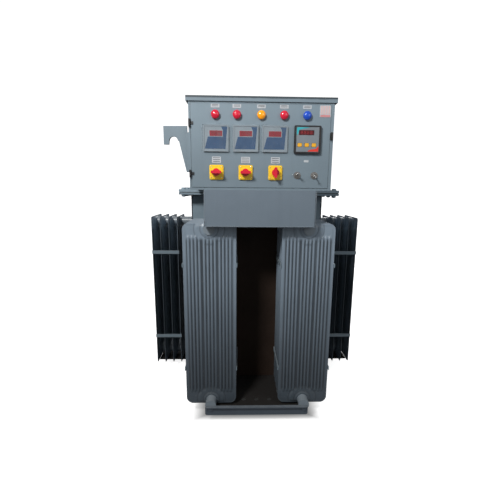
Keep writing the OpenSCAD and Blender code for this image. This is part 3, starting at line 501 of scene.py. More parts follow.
def dress_cad_piece(name, obj):
    """Give a CAD piece its material, rounded edges and clean shading."""
    obj.data.materials.clear()
    obj.data.materials.append(MATERIALS[NODE_MATERIAL.get(name, SLOT_OF[name])])
    for polygon in obj.data.polygons:
        polygon.material_index = 0
        polygon.use_smooth = True
    weld = obj.modifiers.new("join", "WELD")
    weld.merge_threshold = 0.000001
    if name in ROUND_OF:
        bevel = obj.modifiers.new("round", "BEVEL")
        bevel.width = ROUND_OF[name]
        bevel.segments = 2
        bevel.limit_method = "ANGLE"
        bevel.angle_limit = math.radians(40)
        bevel.use_clamp_overlap = True
        bevel.harden_normals = False
    split = obj.modifiers.new("split", "EDGE_SPLIT")
    split.split_angle = math.radians(34)
    if name in ROUND_OF:
        normals = obj.modifiers.new("flat_faces", "WEIGHTED_NORMAL")
        normals.mode = "FACE_AREA"
        normals.weight = 100
        normals.keep_sharp = True


for node_name, node_obj in NODES.items():
    dress_cad_piece(node_name, node_obj)


# ------------------------------------------------------------------ mesh helpers
def new_object(name, verts, faces, material, body, sharp):
    """sharp: angle in degrees above which an edge is shaded hard."""
    mesh = bpy.data.meshes.new(name)
    mesh.from_pydata([tuple(v) for v in verts], [], [tuple(f) for f in faces])
    mesh.update()
    mesh.validate()
    mesh.materials.append(MATERIALS[material])
    obj = bpy.data.objects.new(name, mesh)
    scene.collection.objects.link(obj)
    for polygon in mesh.polygons:
        polygon.use_smooth = True
    mesh.set_sharp_from_angle(angle=math.radians(sharp))
    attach(obj, body)
    return obj


def rounded_rect(x, z, width, height, radius, steps=5):
    """Outline in X, Z about a centre, with steps segments to each corner."""
    dx, dz = width / 2 - radius, height / 2 - radius
    points = []
    for corner, (sx, sz) in enumerate(((1, 1), (-1, 1), (-1, -1), (1, -1))):
        for i in range(steps + 1):
            angle = math.radians(90 * corner + 90 * i / steps)
            points.append((x + sx * dx + radius * math.cos(angle),
                           z + sz * dz + radius * math.sin(angle)))
    return points


def moved(outline, x, z):
    return [(x + dx, z + dz) for dx, dz in outline]


class Parts:
    """Collects many small forms into one mesh."""
    def __init__(self):
        self.verts, self.faces = [], []

    def add(self, verts, faces):
        start = len(self.verts)
        self.verts += [tuple(v) for v in verts]
        self.faces += [tuple(i + start for i in face) for face in faces]

    def tube(self, path, radius, seg, swell=None):
        """Capped tube. swell: radius factor as a function of 0 to 1 along the path."""
        path = [Vector(p) for p in path]
        last = len(path) - 1
        across = None
        verts, faces = [], []
        for i, point in enumerate(path):
            along = (path[min(i + 1, last)] - path[max(i - 1, 0)]).normalized()
            if across is None:
                across = along.cross(Vector((0, 0, 1)))
                if across.length < 1e-4:
                    across = along.cross(Vector((1, 0, 0)))
            else:
                across = across - along * across.dot(along)
            across.normalize()
            other = along.cross(across)
            r = swell(i / max(1, last)) * radius if swell else radius
            for k in range(seg):
                angle = 2 * math.pi * k / seg
                verts.append(point + (across * math.cos(angle) + other * math.sin(angle)) * r)
        for i in range(last):
            here, there = i * seg, (i + 1) * seg
            for k in range(seg):
                k2 = (k + 1) % seg
                faces.append((there + k, there + k2, here + k2, here + k))
        faces.append(tuple(range(seg)))
        faces.append(tuple(last * seg + k for k in reversed(range(seg))))
        self.add(verts, faces)

    def lathe(self, profile, origin, axis, seg):
        """profile: (radius, height along axis) pairs. Only the last radius may be 0."""
        axis, origin = Vector(axis).normalized(), Vector(origin)
        across = axis.cross(Vector((0, 0, 1)))
        if across.length < 1e-3:
            across = Vector((1, 0, 0))
        across.normalize()
        other = axis.cross(across)
        verts, faces, rings = [], [], []
        for radius, height in profile:
            if radius < 1e-7:
                rings.append([len(verts)])
                verts.append(origin + axis * height)
                continue
            rings.append(list(range(len(verts), len(verts) + seg)))
            for k in range(seg):
                angle = 2 * math.pi * k / seg
                spoke = (across * math.cos(angle) + other * math.sin(angle)) * radius
                verts.append(origin + axis * height + spoke)
        for a, b in zip(rings, rings[1:]):
            for k in range(seg):
                k2 = (k + 1) % seg
                faces.append((a[k], a[k2], b[0]) if len(b) == 1 else (a[k], a[k2], b[k2], b[k]))
        self.add(verts, faces)

    def screw(self, origin, axis, radius, height):
        """Pan head with a round recess."""
        r, h = radius, height
        self.lathe([(r, -0.0006), (r, h * 0.25), (r * 0.93, h * 0.62), (r * 0.72, h * 0.9),
                    (r * 0.45, h), (r * 0.30, h), (r * 0.16, h * 0.35), (0, h * 0.3)],
                   origin, axis, seg=16)

    def prism(self, outline, front, back):
        """X, Z outline drawn along Y from front to back, with a chamfered front edge."""
        n = len(outline)
        cx, cz = (sum(p[i] for p in outline) / n for i in (0, 1))
        chamfer = min(0.0003, abs(back - front) * 0.45)
        face_ring = []
        for x, z in outline:
            reach = max(1e-6, math.hypot(cx - x, cz - z))
            face_ring.append((x + (cx - x) / reach * chamfer, front,
                              z + (cz - z) / reach * chamfer))
        verts = face_ring + [(x, y, z) for y in (front + chamfer, back) for x, z in outline]
        faces = [tuple(range(n)), tuple(reversed(range(2 * n, 3 * n)))]
        for i in range(n):
            j = (i + 1) % n
            faces += [(i, n + i, n + j, j), (n + i, 2 * n + i, 2 * n + j, n + j)]
        area = sum(a[0] * b[1] - b[0] * a[1] for a, b in zip(outline, outline[1:] + outline[:1]))
        if area < 0:
            faces = [tuple(reversed(face)) for face in faces]
        self.add(verts, faces)

    def plate(self, x, z, width, height, radius, front, back, steps=5):
        self.prism(rounded_rect(x, z, width, height, radius, steps), front, back)

    def make(self, name, material, body, slot, sharp):
        obj = new_object(name, self.verts, self.faces, material, body, sharp)
        return obj


# ------------------------------------------------------------------ radiator panels
PANEL_WIDTH = 0.226
RIB_PITCH = 0.0152
GROUP_PITCH = 4 * RIB_PITCH + 0.0044     # three groups of four ribs
RIB_X = [g * GROUP_PITCH + (i - 1.5) * RIB_PITCH for g in (-1, 0, 1) for i in range(4)]
FLAT_SHEET = 0.0012                      # half thickness away from the pressed forms
# mesh columns in the side margins, then rows measured from the foot, the middle and the top
MARGIN_X = [0.1010, 0.1045, 0.1075, 0.1095, 0.1108, 0.1118, 0.1125, 0.1129]
FOOT_ROWS = [0.020, 0.028, 0.036, 0.041, 0.046, 0.050, 0.054, 0.058, 0.062, 0.066, 0.070,
             0.075, 0.081, 0.088, 0.096, 0.105, 0.16]
MIDDLE_ROWS = [0.30, 0.42, 0.54]
TOP_ROWS = [0.035, 0.040, 0.044, 0.048, 0.052, 0.056, 0.060, 0.064, 0.069, 0.075, 0.082,
            0.090, 0.098, 0.16]
BANK_PITCH = 0.045
FRONT_BANK_X = 0.209
FRONT_BANK_Y = [-0.442 + BANK_PITCH * i for i in range(5)]
SIDE_BANK_X = [0.551 - BANK_PITCH * i for i in range(4)]
SIDE_BANK_Y = 0.058


def smooth_step(start, end, x):
    t = np.clip((x - start) / (end - start), 0, 1)
    return t * t * (3 - 2 * t)


def bell(x, centre, width):
    return np.exp(-((x - centre) / width) ** 2)


def panel_form(height, hub_z, corner, shaded_rim):
    """Grids of x, z, half thickness and painted shade in the grooves (0 to 1) for one pressed panel.
    """
    columns = [c + d * RIB_PITCH for c in RIB_X
               for d in (-0.5, -0.36, -0.24, -0.12, 0, 0.12, 0.24, 0.36)]
    columns += [c + RIB_PITCH * 0.5 for c in RIB_X[3::4]]
    columns = sorted(set(np.round(columns + MARGIN_X + [-x for x in MARGIN_X], 6)))
    corner_rows = [corner * (1 - math.cos(math.radians(a))) for a in (0, 12, 25, 38, 52, 66, 78, 90)]
    rows = corner_rows + FOOT_ROWS + MIDDLE_ROWS + [height - z for z in corner_rows + TOP_ROWS]
    X, Z = np.meshgrid(np.array(columns), np.array(sorted(set(np.round(rows, 6)))))

    # squeeze the outer columns so that they follow the round corners
    end_gap = np.minimum(Z, height - Z)
    rise = corner - np.minimum(end_gap, corner)
    half_width = np.where(
        end_gap < corner,
        PANEL_WIDTH / 2 - corner + np.sqrt(np.maximum(0, corner**2 - rise**2)), PANEL_WIDTH / 2)
    fixed = 0.086                        # columns nearer the middle than this stay put
    reach = np.abs(X)
    squeeze = (half_width - fixed) / (PANEL_WIDTH / 2 - fixed)
    panel_x = np.where(reach > fixed, np.sign(X) * (fixed + (reach - fixed) * squeeze), X)
    edge = np.minimum(half_width - np.abs(panel_x), end_gap)

    # round-ended ribs
    rib_foot, rib_top = 0.066, height - 0.063
    beyond = np.maximum(0, np.maximum(rib_foot - Z, Z - rib_top)) * 0.62
    rib = np.zeros_like(X)
    for c in RIB_X:
        away = np.clip(np.hypot(X - c, beyond) / 0.0074, 0, 1)
        rib = np.maximum(rib, 0.5 + 0.5 * np.cos(np.pi * away))
    thick = FLAT_SHEET + 0.0052 * rib ** 0.8

    # two-step round hubs near the foot and the top
    hub_shade = np.zeros_like(X)
    for z in hub_z:
        from_hub = np.hypot(panel_x, Z - z)
        dome = (0.0034 * (1 - smooth_step(0.052, 0.064, from_hub))
                + 0.0035 * (1 - smooth_step(0.029, 0.037, from_hub)))
        thick = np.maximum(thick, FLAT_SHEET + dome * smooth_step(0.004, 0.012, edge))
        # painted shade in rings round the hubs
        hub_shade = np.maximum(hub_shade, bell(from_hub, 0.0645, 0.0022) * 0.55
                               + bell(from_hub, 0.038, 0.0022) * 0.6)

    # shallow pressed step inside the flat rim, and a rolled outer edge
    thick = thick + 0.0005 * smooth_step(0.0135, 0.0165, edge)
    thick = thick + 0.0009 * bell(edge, 0.0022, 0.0014)
    thick = np.where(edge < 0.0006, 0.0008, thick)

    # painted shade: 0 on crests and plain margins, 1 in the grooves between ribs, with rings round
    # the hubs and a line along the pressed step
    in_row = np.abs(X) < RIB_X[-1] + 0.0085
    zone = (smooth_step(rib_foot - 0.004, rib_foot + 0.014, Z)
            * (1 - smooth_step(rib_top - 0.014, rib_top + 0.004, Z)))
    groove = np.where(in_row, 1 - smooth_step(0.10, 0.62, rib), 0.0) * zone
    step_shade = bell(edge, 0.0135, 0.0016) * 0.45
    groove = np.maximum(groove, np.maximum(step_shade, hub_shade) * (edge > 0.004))
    groove = np.clip(groove, 0, 1)
    # painted shade over the rolled rims of the side panels, which would otherwise catch the light
    if shaded_rim:
        groove = np.maximum(groove, 0.85 * (edge < 0.0045))
    return panel_x, Z, thick, groove


def radiator_bank(name, node, material, centres, faces_x, form):
    """centres: feet of the panels' mid-planes. faces_x: True for panels that face X."""
    x, z, thick, groove = (grid.ravel() for grid in form)
    n = x.size
    panel = np.concatenate([np.stack([x, -thick, z], 1), np.stack([x, thick, z], 1)])
    if faces_x:
        panel = np.stack([-panel[:, 1], panel[:, 0], panel[:, 2]], 1)
    index = np.arange(n).reshape(form[0].shape)
    quads = np.stack([index[:-1, :-1], index[:-1, 1:], index[1:, 1:], index[1:, :-1]], -1)
    quads = quads.reshape(-1, 4)
    border = np.concatenate([index[0, :], index[1:, -1], index[-1, -2::-1], index[-2:0:-1, 0]])
    following = np.roll(border, -1)
    rim = np.stack([following, border, n + border, n + following], 1)
    faces = np.concatenate([quads, quads[:, ::-1] + n, rim])
    verts = np.concatenate([panel + np.array(centre) for centre in centres])
    faces = np.concatenate([faces + 2 * n * i for i in range(len(centres))])
    obj = new_object(name, verts, faces.tolist(), material, "tank", sharp=50)
    # per-vertex painted shade, read by the paint as the cav attribute
    attribute = obj.data.attributes.new("cav", "FLOAT", "POINT")
    attribute.data.foreach_set("value", np.tile(groove, 2 * len(centres)).astype(np.float32))
    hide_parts(node)


front_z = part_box("front_radiator_left")[0].z
side_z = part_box("side_radiator_left")[0].z
front_form = panel_form(height=0.833, hub_z=(0.022, 0.807), corner=0.030, shaded_rim=False)
side_form = panel_form(height=0.838, hub_z=(0.038, 0.807), corner=0.012, shaded_rim=True)
for side, sign in (("left", -1), ("right", 1)):
    radiator_bank(f"radiator_bank_front_{side}", f"front_radiator_{side}", "radiator_enamel",
                  [(sign * FRONT_BANK_X, y, front_z) for y in FRONT_BANK_Y], False, front_form)
for side, sign in (("left", -1), ("right", 1)):
    radiator_bank(f"radiator_bank_side_{side}", f"side_radiator_{side}", "charcoal_enamel",
                  [(sign * x, SIDE_BANK_Y, side_z) for x in SIDE_BANK_X], True, side_form)


# ------------------------------------------------------------------ weld beads
BEAD_RADIUS = 0.0032
BEAD_PITCH = 0.0042
PIPE_RING = 0.0252                       # radius of the beads round the header pipes
PIPE_Z = ((0.084, 0.084), (0.869, 0.853))   # (front, side) pipe heights, low then high
SEAM_Z = 1.0035                          # seam round the top of the tank


def bead(parts, path, radius=BEAD_RADIUS):
    """A lumpy weld run along a path."""
    path = [Vector(p) for p in path]
    points = []
    for a, b in zip(path, path[1:]):
        n = max(2, int((b - a).length / (BEAD_PITCH * 0.5)))
        points += [a.lerp(b, i / n) for i in range(n)]
    points.append(path[-1])
    count = len(points)

    def lumps(t):
        return (0.86 + 0.14 * math.cos(2 * math.pi * t * count * 0.25)
                + 0.05 * math.sin(t * count * 0.37))

    parts.tube(points, radius, seg=7, swell=lumps)


def ring(centre, axis):
    """Circle of a pipe bead about the x or y axis."""
    points = []
    for t in np.linspace(0, 2 * math.pi, 40):
        across, rise = PIPE_RING * math.cos(t), PIPE_RING * math.sin(t)
        offset = (across, 0, rise) if axis == "y" else (0, across, rise)
        points.append(Vector(centre) + Vector(offset))
    return points


def tank_welds():
    parts = Parts()
    for s in SIDES:
        for front_pipe_z, side_pipe_z in PIPE_Z:
            bead(parts, ring((s * FRONT_BANK_X, -0.2012, front_pipe_z), "y"))
            bead(parts, ring((s * 0.3152, SIDE_BANK_Y, side_pipe_z), "x"))
        for y in (-0.1997, 0.1997):      # upright corners
            bead(parts, [(s * 0.3135, y, 0.055), (s * 0.3135, y, 1.003)])
    for y in (-0.2015, 0.2015):
        bead(parts, [(-0.312, y, SEAM_Z), (0.312, y, SEAM_Z)])
    for s in SIDES:
        bead(parts, [(s * 0.3155, -0.198, SEAM_Z), (s * 0.3155, 0.198, SEAM_Z)])
    for middle in (-0.150, 0, 0.150):    # pairs of upright runs on the back
        for s in SIDES:
            x = middle + s * 0.0048
            bead(parts, [(x, 0.2012, 0.125), (x, 0.2012, 1.000)], radius=0.0026)
    parts.make("tank_weld_beads", "weld", "tank", "tank_paint", sharp=60)


def hook_welds():
    parts = Parts()
    for x, middle in ((-0.2872, -0.466), (0.2872, 0.100)):
        for s in SIDES:
            y = middle + s * 0.0068
            bead(parts, [(x, y, 1.102), (x, y, 1.242)], radius=0.0024)
    parts.make("hook_weld_beads", "hook_enamel", "tank", "grey_enamel", sharp=60)


tank_welds()
hook_welds()

# ------------------------------------------------------------------ door: meters
METER_X, METER_Z = (-0.173, -0.060, 0.051), 1.222
METER_FACE_Y = -0.5015
METER_DIGITS_Z = METER_Z + 0.018
# outlines of the printed navy fields, as x, z offsets from a meter's centre
NAVY_FIELDS = (
    [(-0.0305, 0.0060), (-0.0425, -0.0385), (0.0365, -0.0385), (0.0395, 0.0060)],
    [(0.0262, 0.0060), (0.0395, 0.0060), (0.0430, 0.0420), (0.0205, 0.0420), (0.0262, 0.0300)],
)
# pale window surround: x and z offsets from the digits, width, height
WINDOW_STRIPS = ((0, 0.0110, 0.052, 0.0016), (0, -0.0110, 0.052, 0.0016),
                 (-0.0252, 0, 0.0016, 0.0232), (0.0252, 0, 0.0016, 0.0232))


def digit(parts, x, z, y, height, width, stroke):
    """Seven-segment figure eight."""
    gap = stroke * 0.6

    def bar(bar_x, bar_z, bar_width, bar_height):
        parts.plate(bar_x, bar_z, bar_width, bar_height, stroke * 0.45,
                    front=y - 0.0003, back=y + 0.0001, steps=2)

    for level in (0, 1, -1):
        bar(x, z + level * height / 2, width - 2 * gap, stroke)
    for sx in SIDES:
        for sz in SIDES:
            bar(x + sx * width / 2, z + sz * height / 4, stroke, height / 2 - 2 * gap)


def meter_faces():
    navy, digits, frames = Parts(), Parts(), Parts()
    for x in METER_X:
        for field in NAVY_FIELDS:
            navy.prism(moved(field, x, METER_Z), METER_FACE_Y - 0.0003, METER_FACE_Y + 0.0002)
        for k in (-1, 0, 1):
            digit(digits, x + k * 0.0125, METER_DIGITS_Z, y=-0.5021,
                  height=0.0125, width=0.0068, stroke=0.0013)
        for dx, dz, width, height in WINDOW_STRIPS:
            frames.plate(x + dx, METER_DIGITS_Z + dz, width, height, radius=0.0006,
                         front=METER_FACE_Y - 0.0005, back=METER_FACE_Y + 0.0002, steps=2)
    navy.make("meter_navy_fields", "decal_navy", "door", "meter_face", sharp=30)
    digits.make("meter_digit_segments", "segment", "door", "red_window", sharp=30)
    frames.make("meter_printed_frames", "meter_print", "door", "meter_face", sharp=30)


meter_faces()

# ------------------------------------------------------------------ door: controller
CONTROL_X, CONTROL_Z = 0.175, 1.221
CONTROL_Y = -0.507                       # front face
PLATE_X0, PLATE_X1 = CONTROL_X - 0.043, CONTROL_X + 0.043
PLATE_Z0, PLATE_Z1 = CONTROL_Z - 0.045, CONTROL_Z + 0.045
DISPLAY_X, DISPLAY_Z = CONTROL_X - 0.005, CONTROL_Z + 0.025
DISPLAY_HALF_WIDTH, DISPLAY_HALF_HEIGHT = 0.0292, 0.0092
KEY_GAP = 0.0008
# x, z offsets from the plate's top left corner, then from its bottom right corner
TEAL_CORNER = [(0.050, -0.001), (0.044, -0.003), (0.024, -0.006), (0.009, -0.010),
               (0.006, -0.024), (0.001, -0.030), (0.001, -0.001)]
RED_CORNER = [(-0.001, 0.001), (-0.001, 0.022), (-0.010, 0.012), (-0.034, 0.008),
              (-0.044, 0.001)]


def controller_faceplate():
    """Strips round the display and the keys, so that the keys stay free to travel."""
    parts = Parts()

    def strip(x0, x1, z0, z1):
        parts.plate((x0 + x1) / 2, (z0 + z1) / 2, x1 - x0, z1 - z0, radius=0.0009,
                    front=CONTROL_Y - 0.0006, back=CONTROL_Y + 0.0001, steps=3)

    display_z0 = DISPLAY_Z - DISPLAY_HALF_HEIGHT
    display_z1 = DISPLAY_Z + DISPLAY_HALF_HEIGHT
    keys = [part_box(key) for key in ("key_left", "key_middle", "key_right")]
    keys_z0, keys_z1 = keys[0][0].z - KEY_GAP, keys[0][1].z + KEY_GAP
    strip(PLATE_X0, PLATE_X1, display_z1, PLATE_Z1)
    strip(PLATE_X0, DISPLAY_X - DISPLAY_HALF_WIDTH, display_z0, display_z1)
    strip(DISPLAY_X + DISPLAY_HALF_WIDTH, PLATE_X1, display_z0, display_z1)
    strip(PLATE_X0, PLATE_X1, keys_z1, display_z0)
    starts = [PLATE_X0] + [high.x + KEY_GAP for low, high in keys]
    ends = [low.x - KEY_GAP for low, high in keys] + [PLATE_X1]
    for start, end in zip(starts, ends):
        strip(start, end, keys_z0, keys_z1)
    strip(PLATE_X0, PLATE_X1, PLATE_Z0, keys_z0)
    parts.make("controller_faceplate", "panel_silver", "door", "black_plastic", sharp=30)


def controller_corner(colour, outline):
    parts = Parts()
    parts.prism(outline, CONTROL_Y - 0.0009, CONTROL_Y - 0.0004)
    parts.make(f"controller_corner_{colour}", f"decal_{colour}", "door", "black_plastic",
               sharp=30)


def controller_display():
    digits = Parts()
    for k in range(4):
        digit(digits, DISPLAY_X + (k - 1.5) * 0.0115, DISPLAY_Z, y=-0.5085,
              height=0.010, width=0.0060, stroke=0.0011)
    digits.make("controller_digit_segments", "segment_lit", "door", "red_window", sharp=30)
    smoked = Parts()
    smoked.plate(DISPLAY_X, DISPLAY_Z, width=0.0574, height=0.0174, radius=0.0066,
                 front=-0.5084, back=-0.5079)
    smoked.make("controller_display_filter", "smoked_red", "door", "red_window", sharp=30)


controller_faceplate()
controller_corner("teal", moved(TEAL_CORNER, PLATE_X0, PLATE_Z1))
controller_corner("red", moved(RED_CORNER, PLATE_X1, PLATE_Z0))
controller_display()

# ------------------------------------------------------------------ door: labels
UPPER_X, UPPER_Z = (-0.175, -0.094, -0.002, 0.084, 0.171), 1.308   # row above the meters
LOWER_X, LOWER_Z = (-0.172, -0.060, 0.055), 1.097                  # row below the meters
LABEL_Y = -0.4975


def labels():
    """Plain rules with no lettering, and a tinted corner at the upper right of the door."""
    rules = Parts()
    # row of x, rule heights, rule width, rule thickness
    for row, heights, width, thickness in (
            (UPPER_X, [UPPER_Z + 0.031 + dz for dz in (0.0034, -0.0010)], 0.024, 0.0017),
            (LOWER_X, [LOWER_Z + 0.047 + dz for dz in (0.0070, 0.0, -0.0070)], 0.027, 0.0021)):
        for x in row:
            for z in heights:
                rules.plate(x, z, width, thickness, radius=0.0004,
                            front=LABEL_Y - 0.0003, back=LABEL_Y, steps=2)
    rules.make("label_rules", "label_line", "door", "label_white", sharp=30)

    corner = dict(radius=0.0010, front=LABEL_Y - 0.0004, back=LABEL_Y, steps=3)
    tints = Parts()
    for k in range(4):
        tints.plate(0.2258 + 0.0095 * k, 1.3295, width=0.0066, height=0.029, **corner)
    tints.make("label_corner_tint", "label_pink", "door", "label_white", sharp=30)
    band = Parts()
    band.plate(0.240, 1.3085, width=0.037, height=0.0080, **corner)
    band.make("label_corner_band", "label_red", "door", "label_white", sharp=30)


labels()

# ------------------------------------------------------------------ screws and washers
COVER_TOP_Z = 1.0300
END_BOLT_Y = (-0.246, -0.148, -0.049, 0.049, 0.148, 0.246)
COVER_BOLTS = [(x, y) for x in (-0.22, -0.132, -0.044, 0.044, 0.132, 0.22)
               for y in (-0.246, 0.246)]
COVER_BOLTS += [(x, y) for x in (-0.344, 0.360) for y in END_BOLT_Y]


def door_screws():
    parts = Parts()
    for x in LOWER_X:
        for sx in SIDES:
            for sz in SIDES:
                parts.screw((x + sx * 0.0198, -0.5039, LOWER_Z + sz * 0.0202), (0, -1, 0),
                            radius=0.0021, height=0.0011)
    parts.make("door_screws", "nickel", "door", "nickel", sharp=40)


def housing_screws():
    """A row high on each side, and four lower down on each side near the front."""
    parts = Parts()
    for s in SIDES:
        for y in (-0.45, -0.30, -0.15, 0.0, 0.12):
            parts.screw((s * 0.2848, y, 1.3645), (s, 0, 0), radius=0.0042, height=0.0024)
        for z in (0.925, 1.015):
            for y in (-0.47, -0.30):
                parts.screw((s * 0.2238, y, z), (s, 0, 0), radius=0.0045, height=0.0026)
    parts.make("housing_screws", "zinc_plate", "tank", "zinc_plate", sharp=40)


def cover_washers():
    parts = Parts()
    hole, rim, chamfer = 0.0065, 0.0128, 0.0105     # radii
    for x, y in COVER_BOLTS:
        parts.lathe([(hole, 0.0), (rim, 0.0), (rim, 0.0014), (chamfer, 0.0017), (hole, 0.0017)],
                    (x, y, COVER_TOP_Z), (0, 0, 1), seg=24)
    parts.make("cover_washers", "cover_enamel", "tank", "zinc_plate", sharp=40)


door_screws()
housing_screws()
cover_washers()


# ------------------------------------------------------------------ wiring
def curve_through(points, steps):
    """Catmull-Rom curve, steps to each stretch between points."""
    P = [Vector(p) for p in points]
    P = [P[0] * 2 - P[1]] + P + [P[-1] * 2 - P[-2]]
    out = []
    for p0, p1, p2, p3 in zip(P, P[1:], P[2:], P[3:]):
        for k in range(steps):
            t = k / steps
            out.append(0.5 * ((2 * p1) + (p2 - p0) * t + (2 * p0 - 5 * p1 + 4 * p2 - p3) * t * t
                              + (3 * p1 - p0 - 3 * p2 + p3) * t ** 3))
    out.append(P[-2])
    return out


def door_loom(k, z):
    """Ribbed sleeve from behind the door, past its left edge, into the cabinet."""
    path = curve_through([
        (-0.150 + 0.02 * k, -0.462, z), (-0.205, -0.458, z), (-0.243, -0.462, z - 0.004),
        (-0.2515, -0.4700, z - 0.006), (-0.2545, -0.455, z - 0.006),
        (-0.262, -0.425, z - 0.002), (-0.267, -0.36, z), (-0.267, -0.28, z)], steps=26)
    parts = Parts()
    parts.tube(path, radius=0.0052, seg=10,
               swell=lambda t: 1.0 + 0.09 * math.sin(t * len(path) * 1.55))
    obj = parts.make(f"door_loom_{k + 1}", "sleeve", "door", "black_plastic", sharp=70)
    obj.parent = None
    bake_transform(obj)


def door_leads(k, material, dz):
    """One colour of thin wire behind the door."""
    parts = Parts()

    def lead(points, steps):
        parts.tube(curve_through(points, steps), radius=0.0014, seg=8)

    for x, x2 in zip(UPPER_X, UPPER_X[1:]):     # sagging from one upper place to the next
        lead([(x + 0.003 * k, -0.449, 1.309), (x + 0.012, -0.438, 1.300 + dz),
              ((x + x2) / 2, -0.436, 1.290 + dz), (x2 - 0.012, -0.438, 1.300 + dz),
              (x2 - 0.003 * k, -0.449, 1.309)], steps=10)
    for x in LOWER_X:
        start = x - 0.012 + 0.012 * k
        lead([(start, -0.4248, 1.116), (start, -0.412, 1.136),
              (x - 0.03, -0.408, 1.158 + dz), (x - 0.07, -0.425, 1.161 + dz)], steps=12)
    for x in METER_X:
        start = x - 0.02 + 0.014 * k
        lead([(start, -0.4368, 1.185), (start, -0.425, 1.176),
              (x - 0.04, -0.420, 1.164 + dz), (x - 0.08, -0.440, 1.161 + dz)], steps=12)
    parts.make(f"door_leads_{k + 1}", material, "door", "black_plastic", sharp=70)


for k, z in enumerate((1.160, 1.182)):
    door_loom(k, z)
for k, (material, dz) in enumerate((("wire_red", 0.0), ("wire_yellow", 0.006),
                                    ("wire_blue", -0.006))):
    door_leads(k, material, dz)


# ------------------------------------------------------------------ terminal box and tank back
TANK_BACK_Y = 0.2


def terminal_box_lips():
    """Rolled lips along the foot and both upright edges of the box's front."""
    parts = Parts()
    foot = [Vector((-0.213 + 0.426 * i / 24, -0.5002, 0.8868)) for i in range(25)]
    parts.tube(foot, radius=0.0016, seg=8)
    for x in (-0.2160, 0.2160):
        upright = [Vector((x, -0.4996, 0.888 + 0.134 * i / 12)) for i in range(13)]
        parts.tube(upright, radius=0.0011, seg=8)
    parts.make("terminal_box_lips", "box_enamel", "tank", "box_enamel", sharp=60)


def rating_plate():
    """Blank riveted plate on the back of the tank."""
    x, z, thickness = 0.075, 0.80, 0.0014
    forward = Parts()
    forward.plate(x, z, width=0.110, height=0.160, radius=0.004, front=0, back=thickness)
    # turned to face +Y
    parts = Parts()
    parts.add([(vx, TANK_BACK_Y + thickness - vy, vz) for vx, vy, vz in forward.verts],
              [tuple(reversed(face)) for face in forward.faces])
    for sx in SIDES:
        for sz in SIDES:
            parts.lathe([(0.0028, -0.0003), (0.0028, 0.0006), (0.0018, 0.0016), (0, 0.0020)],
                        (x + sx * 0.048, 0.2013, z + sz * 0.073), (0, 1, 0), seg=14)
    parts.make("rating_plate_blank", "plate_alu", "tank", "gauge_metal", sharp=35)


# (profile of radius and distance behind the tank, segments): boss and stud, washer, hex nut
EARTH_STUD = (
    ([(0.010, 0), (0.010, 0.012), (0.0055, 0.012), (0.0055, 0.030), (0.0045, 0.031),
      (0, 0.031)], 24),
    ([(0.0055, 0.013), (0.0125, 0.013), (0.0125, 0.0145), (0.0055, 0.0145)], 24),
    ([(0.0055, 0.0146), (0.0095, 0.0146), (0.0100, 0.0155), (0.0100, 0.0200),
      (0.0092, 0.0210), (0.0055, 0.0210)], 6),
)


def earth_studs():
    parts = Parts()
    for s in SIDES:
        for profile, seg in EARTH_STUD:
            parts.lathe(profile, (s * 0.270, TANK_BACK_Y, 0.15), (0, 1, 0), seg)
    parts.make("earth_studs", "bronze", "tank", "bronze", sharp=30)


terminal_box_lips()
rating_plate()
earth_studs()


# ------------------------------------------------------------------ stage
def sweep_material():
    """Near-white to the camera, darker to other rays, and a painted shadow on the floor beneath the
    tank.
    """
    sh = Shader("studio_sweep")
    camera_ray = sh.node("ShaderNodeLightPath").outputs["Is Camera Ray"]
    pale = sh.ramp(sh.noise(scale=0.7, detail=2, rough=0.5),
                   [(0.3, (0.86, 0.865, 0.87)), (0.7, (0.88, 0.88, 0.88))])
    # painted shadow mask: 0 under the tank, 1 on the floor around it
    from_x = sh.math("ABSOLUTE", sh.geometry("Position", "X"))
    from_y = sh.math("ABSOLUTE", sh.add(sh.geometry("Position", "Y"), 0.12))
    open_floor = sh.math("MAXIMUM", sh.span(from_x, 0.20, 0.34), sh.span(from_y, 0.30, 0.39))
    pale = sh.mix(open_floor, (0.05, 0.05, 0.05), pale)
    glow = sh.times(sh.times(camera_ray, 0.84), open_floor)
    sh.set(Base_Color=sh.mix(camera_ray, (0.20, 0.20, 0.205), pale), Roughness=0.85,
           Emission_Color=(1, 1, 1), Emission_Strength=sh.add(0.02, glow))
    return sh.material


def sweep():
    """Floor that curves up into a back wall."""
    half_width, floor_end, bend = 7.0, 2.2, 1.6
    profile = [(-4.5, 0.0), (floor_end, 0.0)]     # y, z
    for degrees in range(9, 91, 9):
        angle = math.radians(degrees)
        profile.append((floor_end + bend * math.sin(angle), bend - bend * math.cos(angle)))
    profile.append((3.8, 5.0))
    verts = [(x, y, z) for y, z in profile for x in (-half_width, half_width)]
    faces = [(i, i + 1, i + 3, i + 2) for i in range(0, 2 * len(profile) - 2, 2)]
    mesh = bpy.data.meshes.new("sweep")
    mesh.from_pydata(verts, [], faces)
    mesh.materials.append(sweep_material())
    for polygon in mesh.polygons:
        polygon.use_smooth = True
    obj = bpy.data.objects.new("sweep", mesh)
    scene.collection.objects.link(obj)


def studio_world():
    """White to the camera, dim as a light."""
    dim, bright = 0.24, 1.0
    world = bpy.data.worlds.new("studio")
    scene.world = world
    world.use_nodes = True
    tree = world.node_tree
    background = tree.nodes["Background"]
    background.inputs["Color"].default_value = (1.0, 1.0, 1.0, 1)
    background.inputs["Strength"].default_value = dim
    path = tree.nodes.new("ShaderNodeLightPath")
    strength = tree.nodes.new("ShaderNodeMapRange")
    strength.inputs[3].default_value = dim
    strength.inputs[4].default_value = bright
    tree.links.new(path.outputs["Is Camera Ray"], strength.inputs[0])
    tree.links.new(strength.outputs[0], background.inputs["Strength"])


sweep()
studio_world()

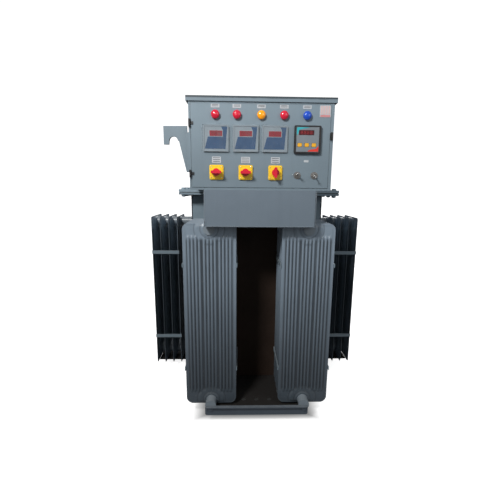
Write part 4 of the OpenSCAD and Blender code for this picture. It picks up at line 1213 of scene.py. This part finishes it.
# ------------------------------------------------------------------ lights
WHITE = (1, 1, 1)
LIGHTS = (
    # name, location, target, size, power, colour, spread in degrees
    ("key", (-1.05, -2.05, 2.45), (0.02, -0.40, 1.20), (0.50, 0.40), 19.5,
     (1.0, 0.99, 0.975), 110),
    ("fill", (1.9, -2.3, 1.9), (0.1, -0.3, 1.0), (1.4, 1.2), 5, (0.93, 0.97, 1.0), 120),
    ("top", (0.0, 0.7, 3.4), (0, 0, 0.9), (2.2, 2.2), 8, WHITE, 180),
    ("rear", (0.6, 3.0, 2.4), (0, 0.2, 0.8), (2.0, 1.6), 46, WHITE, 180),
    ("side_right", (3.0, 1.3, 1.6), (0.1, 0.2, 0.9), (1.6, 1.6), 21, WHITE, 180),
    ("side_left", (-3.0, 1.3, 1.6), (-0.1, 0.2, 0.9), (1.6, 1.6), 16, WHITE, 180),
)


def area_light(name, location, target, size, power, colour, spread):
    light = bpy.data.lights.new(name, "AREA")
    light.shape = "RECTANGLE"
    light.size, light.size_y = size
    light.energy = power
    light.spread = math.radians(spread)
    light.color = colour
    obj = bpy.data.objects.new(name, light)
    scene.collection.objects.link(obj)
    obj.location = location
    obj.visible_camera = False
    aim = Vector(target) - Vector(location)
    obj.rotation_euler = aim.to_track_quat("-Z", "Y").to_euler()


for light_row in LIGHTS:
    area_light(*light_row)

# ------------------------------------------------------------------ camera
CAMERA_PLACE = (-0.07681793515, -1.799068656, 1.039268614)
# radians: turn about Z, tilt below the horizon, roll about the line of sight
YAW, PITCH, ROLL = -0.028493496440162715, 0.18807963857363155, 0.009617052130885227

camera = bpy.data.cameras.new("camera")
camera.sensor_width = 36.0               # mm
camera.lens = 23.55064096069761          # mm
camera.clip_start = 0.05
camera_obj = bpy.data.objects.new("camera", camera)
scene.collection.objects.link(camera_obj)
camera_obj.matrix_world = Matrix.Translation(CAMERA_PLACE) @ (
    Matrix.Rotation(YAW, 4, "Z") @ Matrix.Rotation(math.pi / 2 - PITCH, 4, "X")
    @ Matrix.Rotation(ROLL, 4, "Z"))
scene.camera = camera_obj
scene.view_settings.view_transform = "Standard"
scene.view_settings.look = "None"
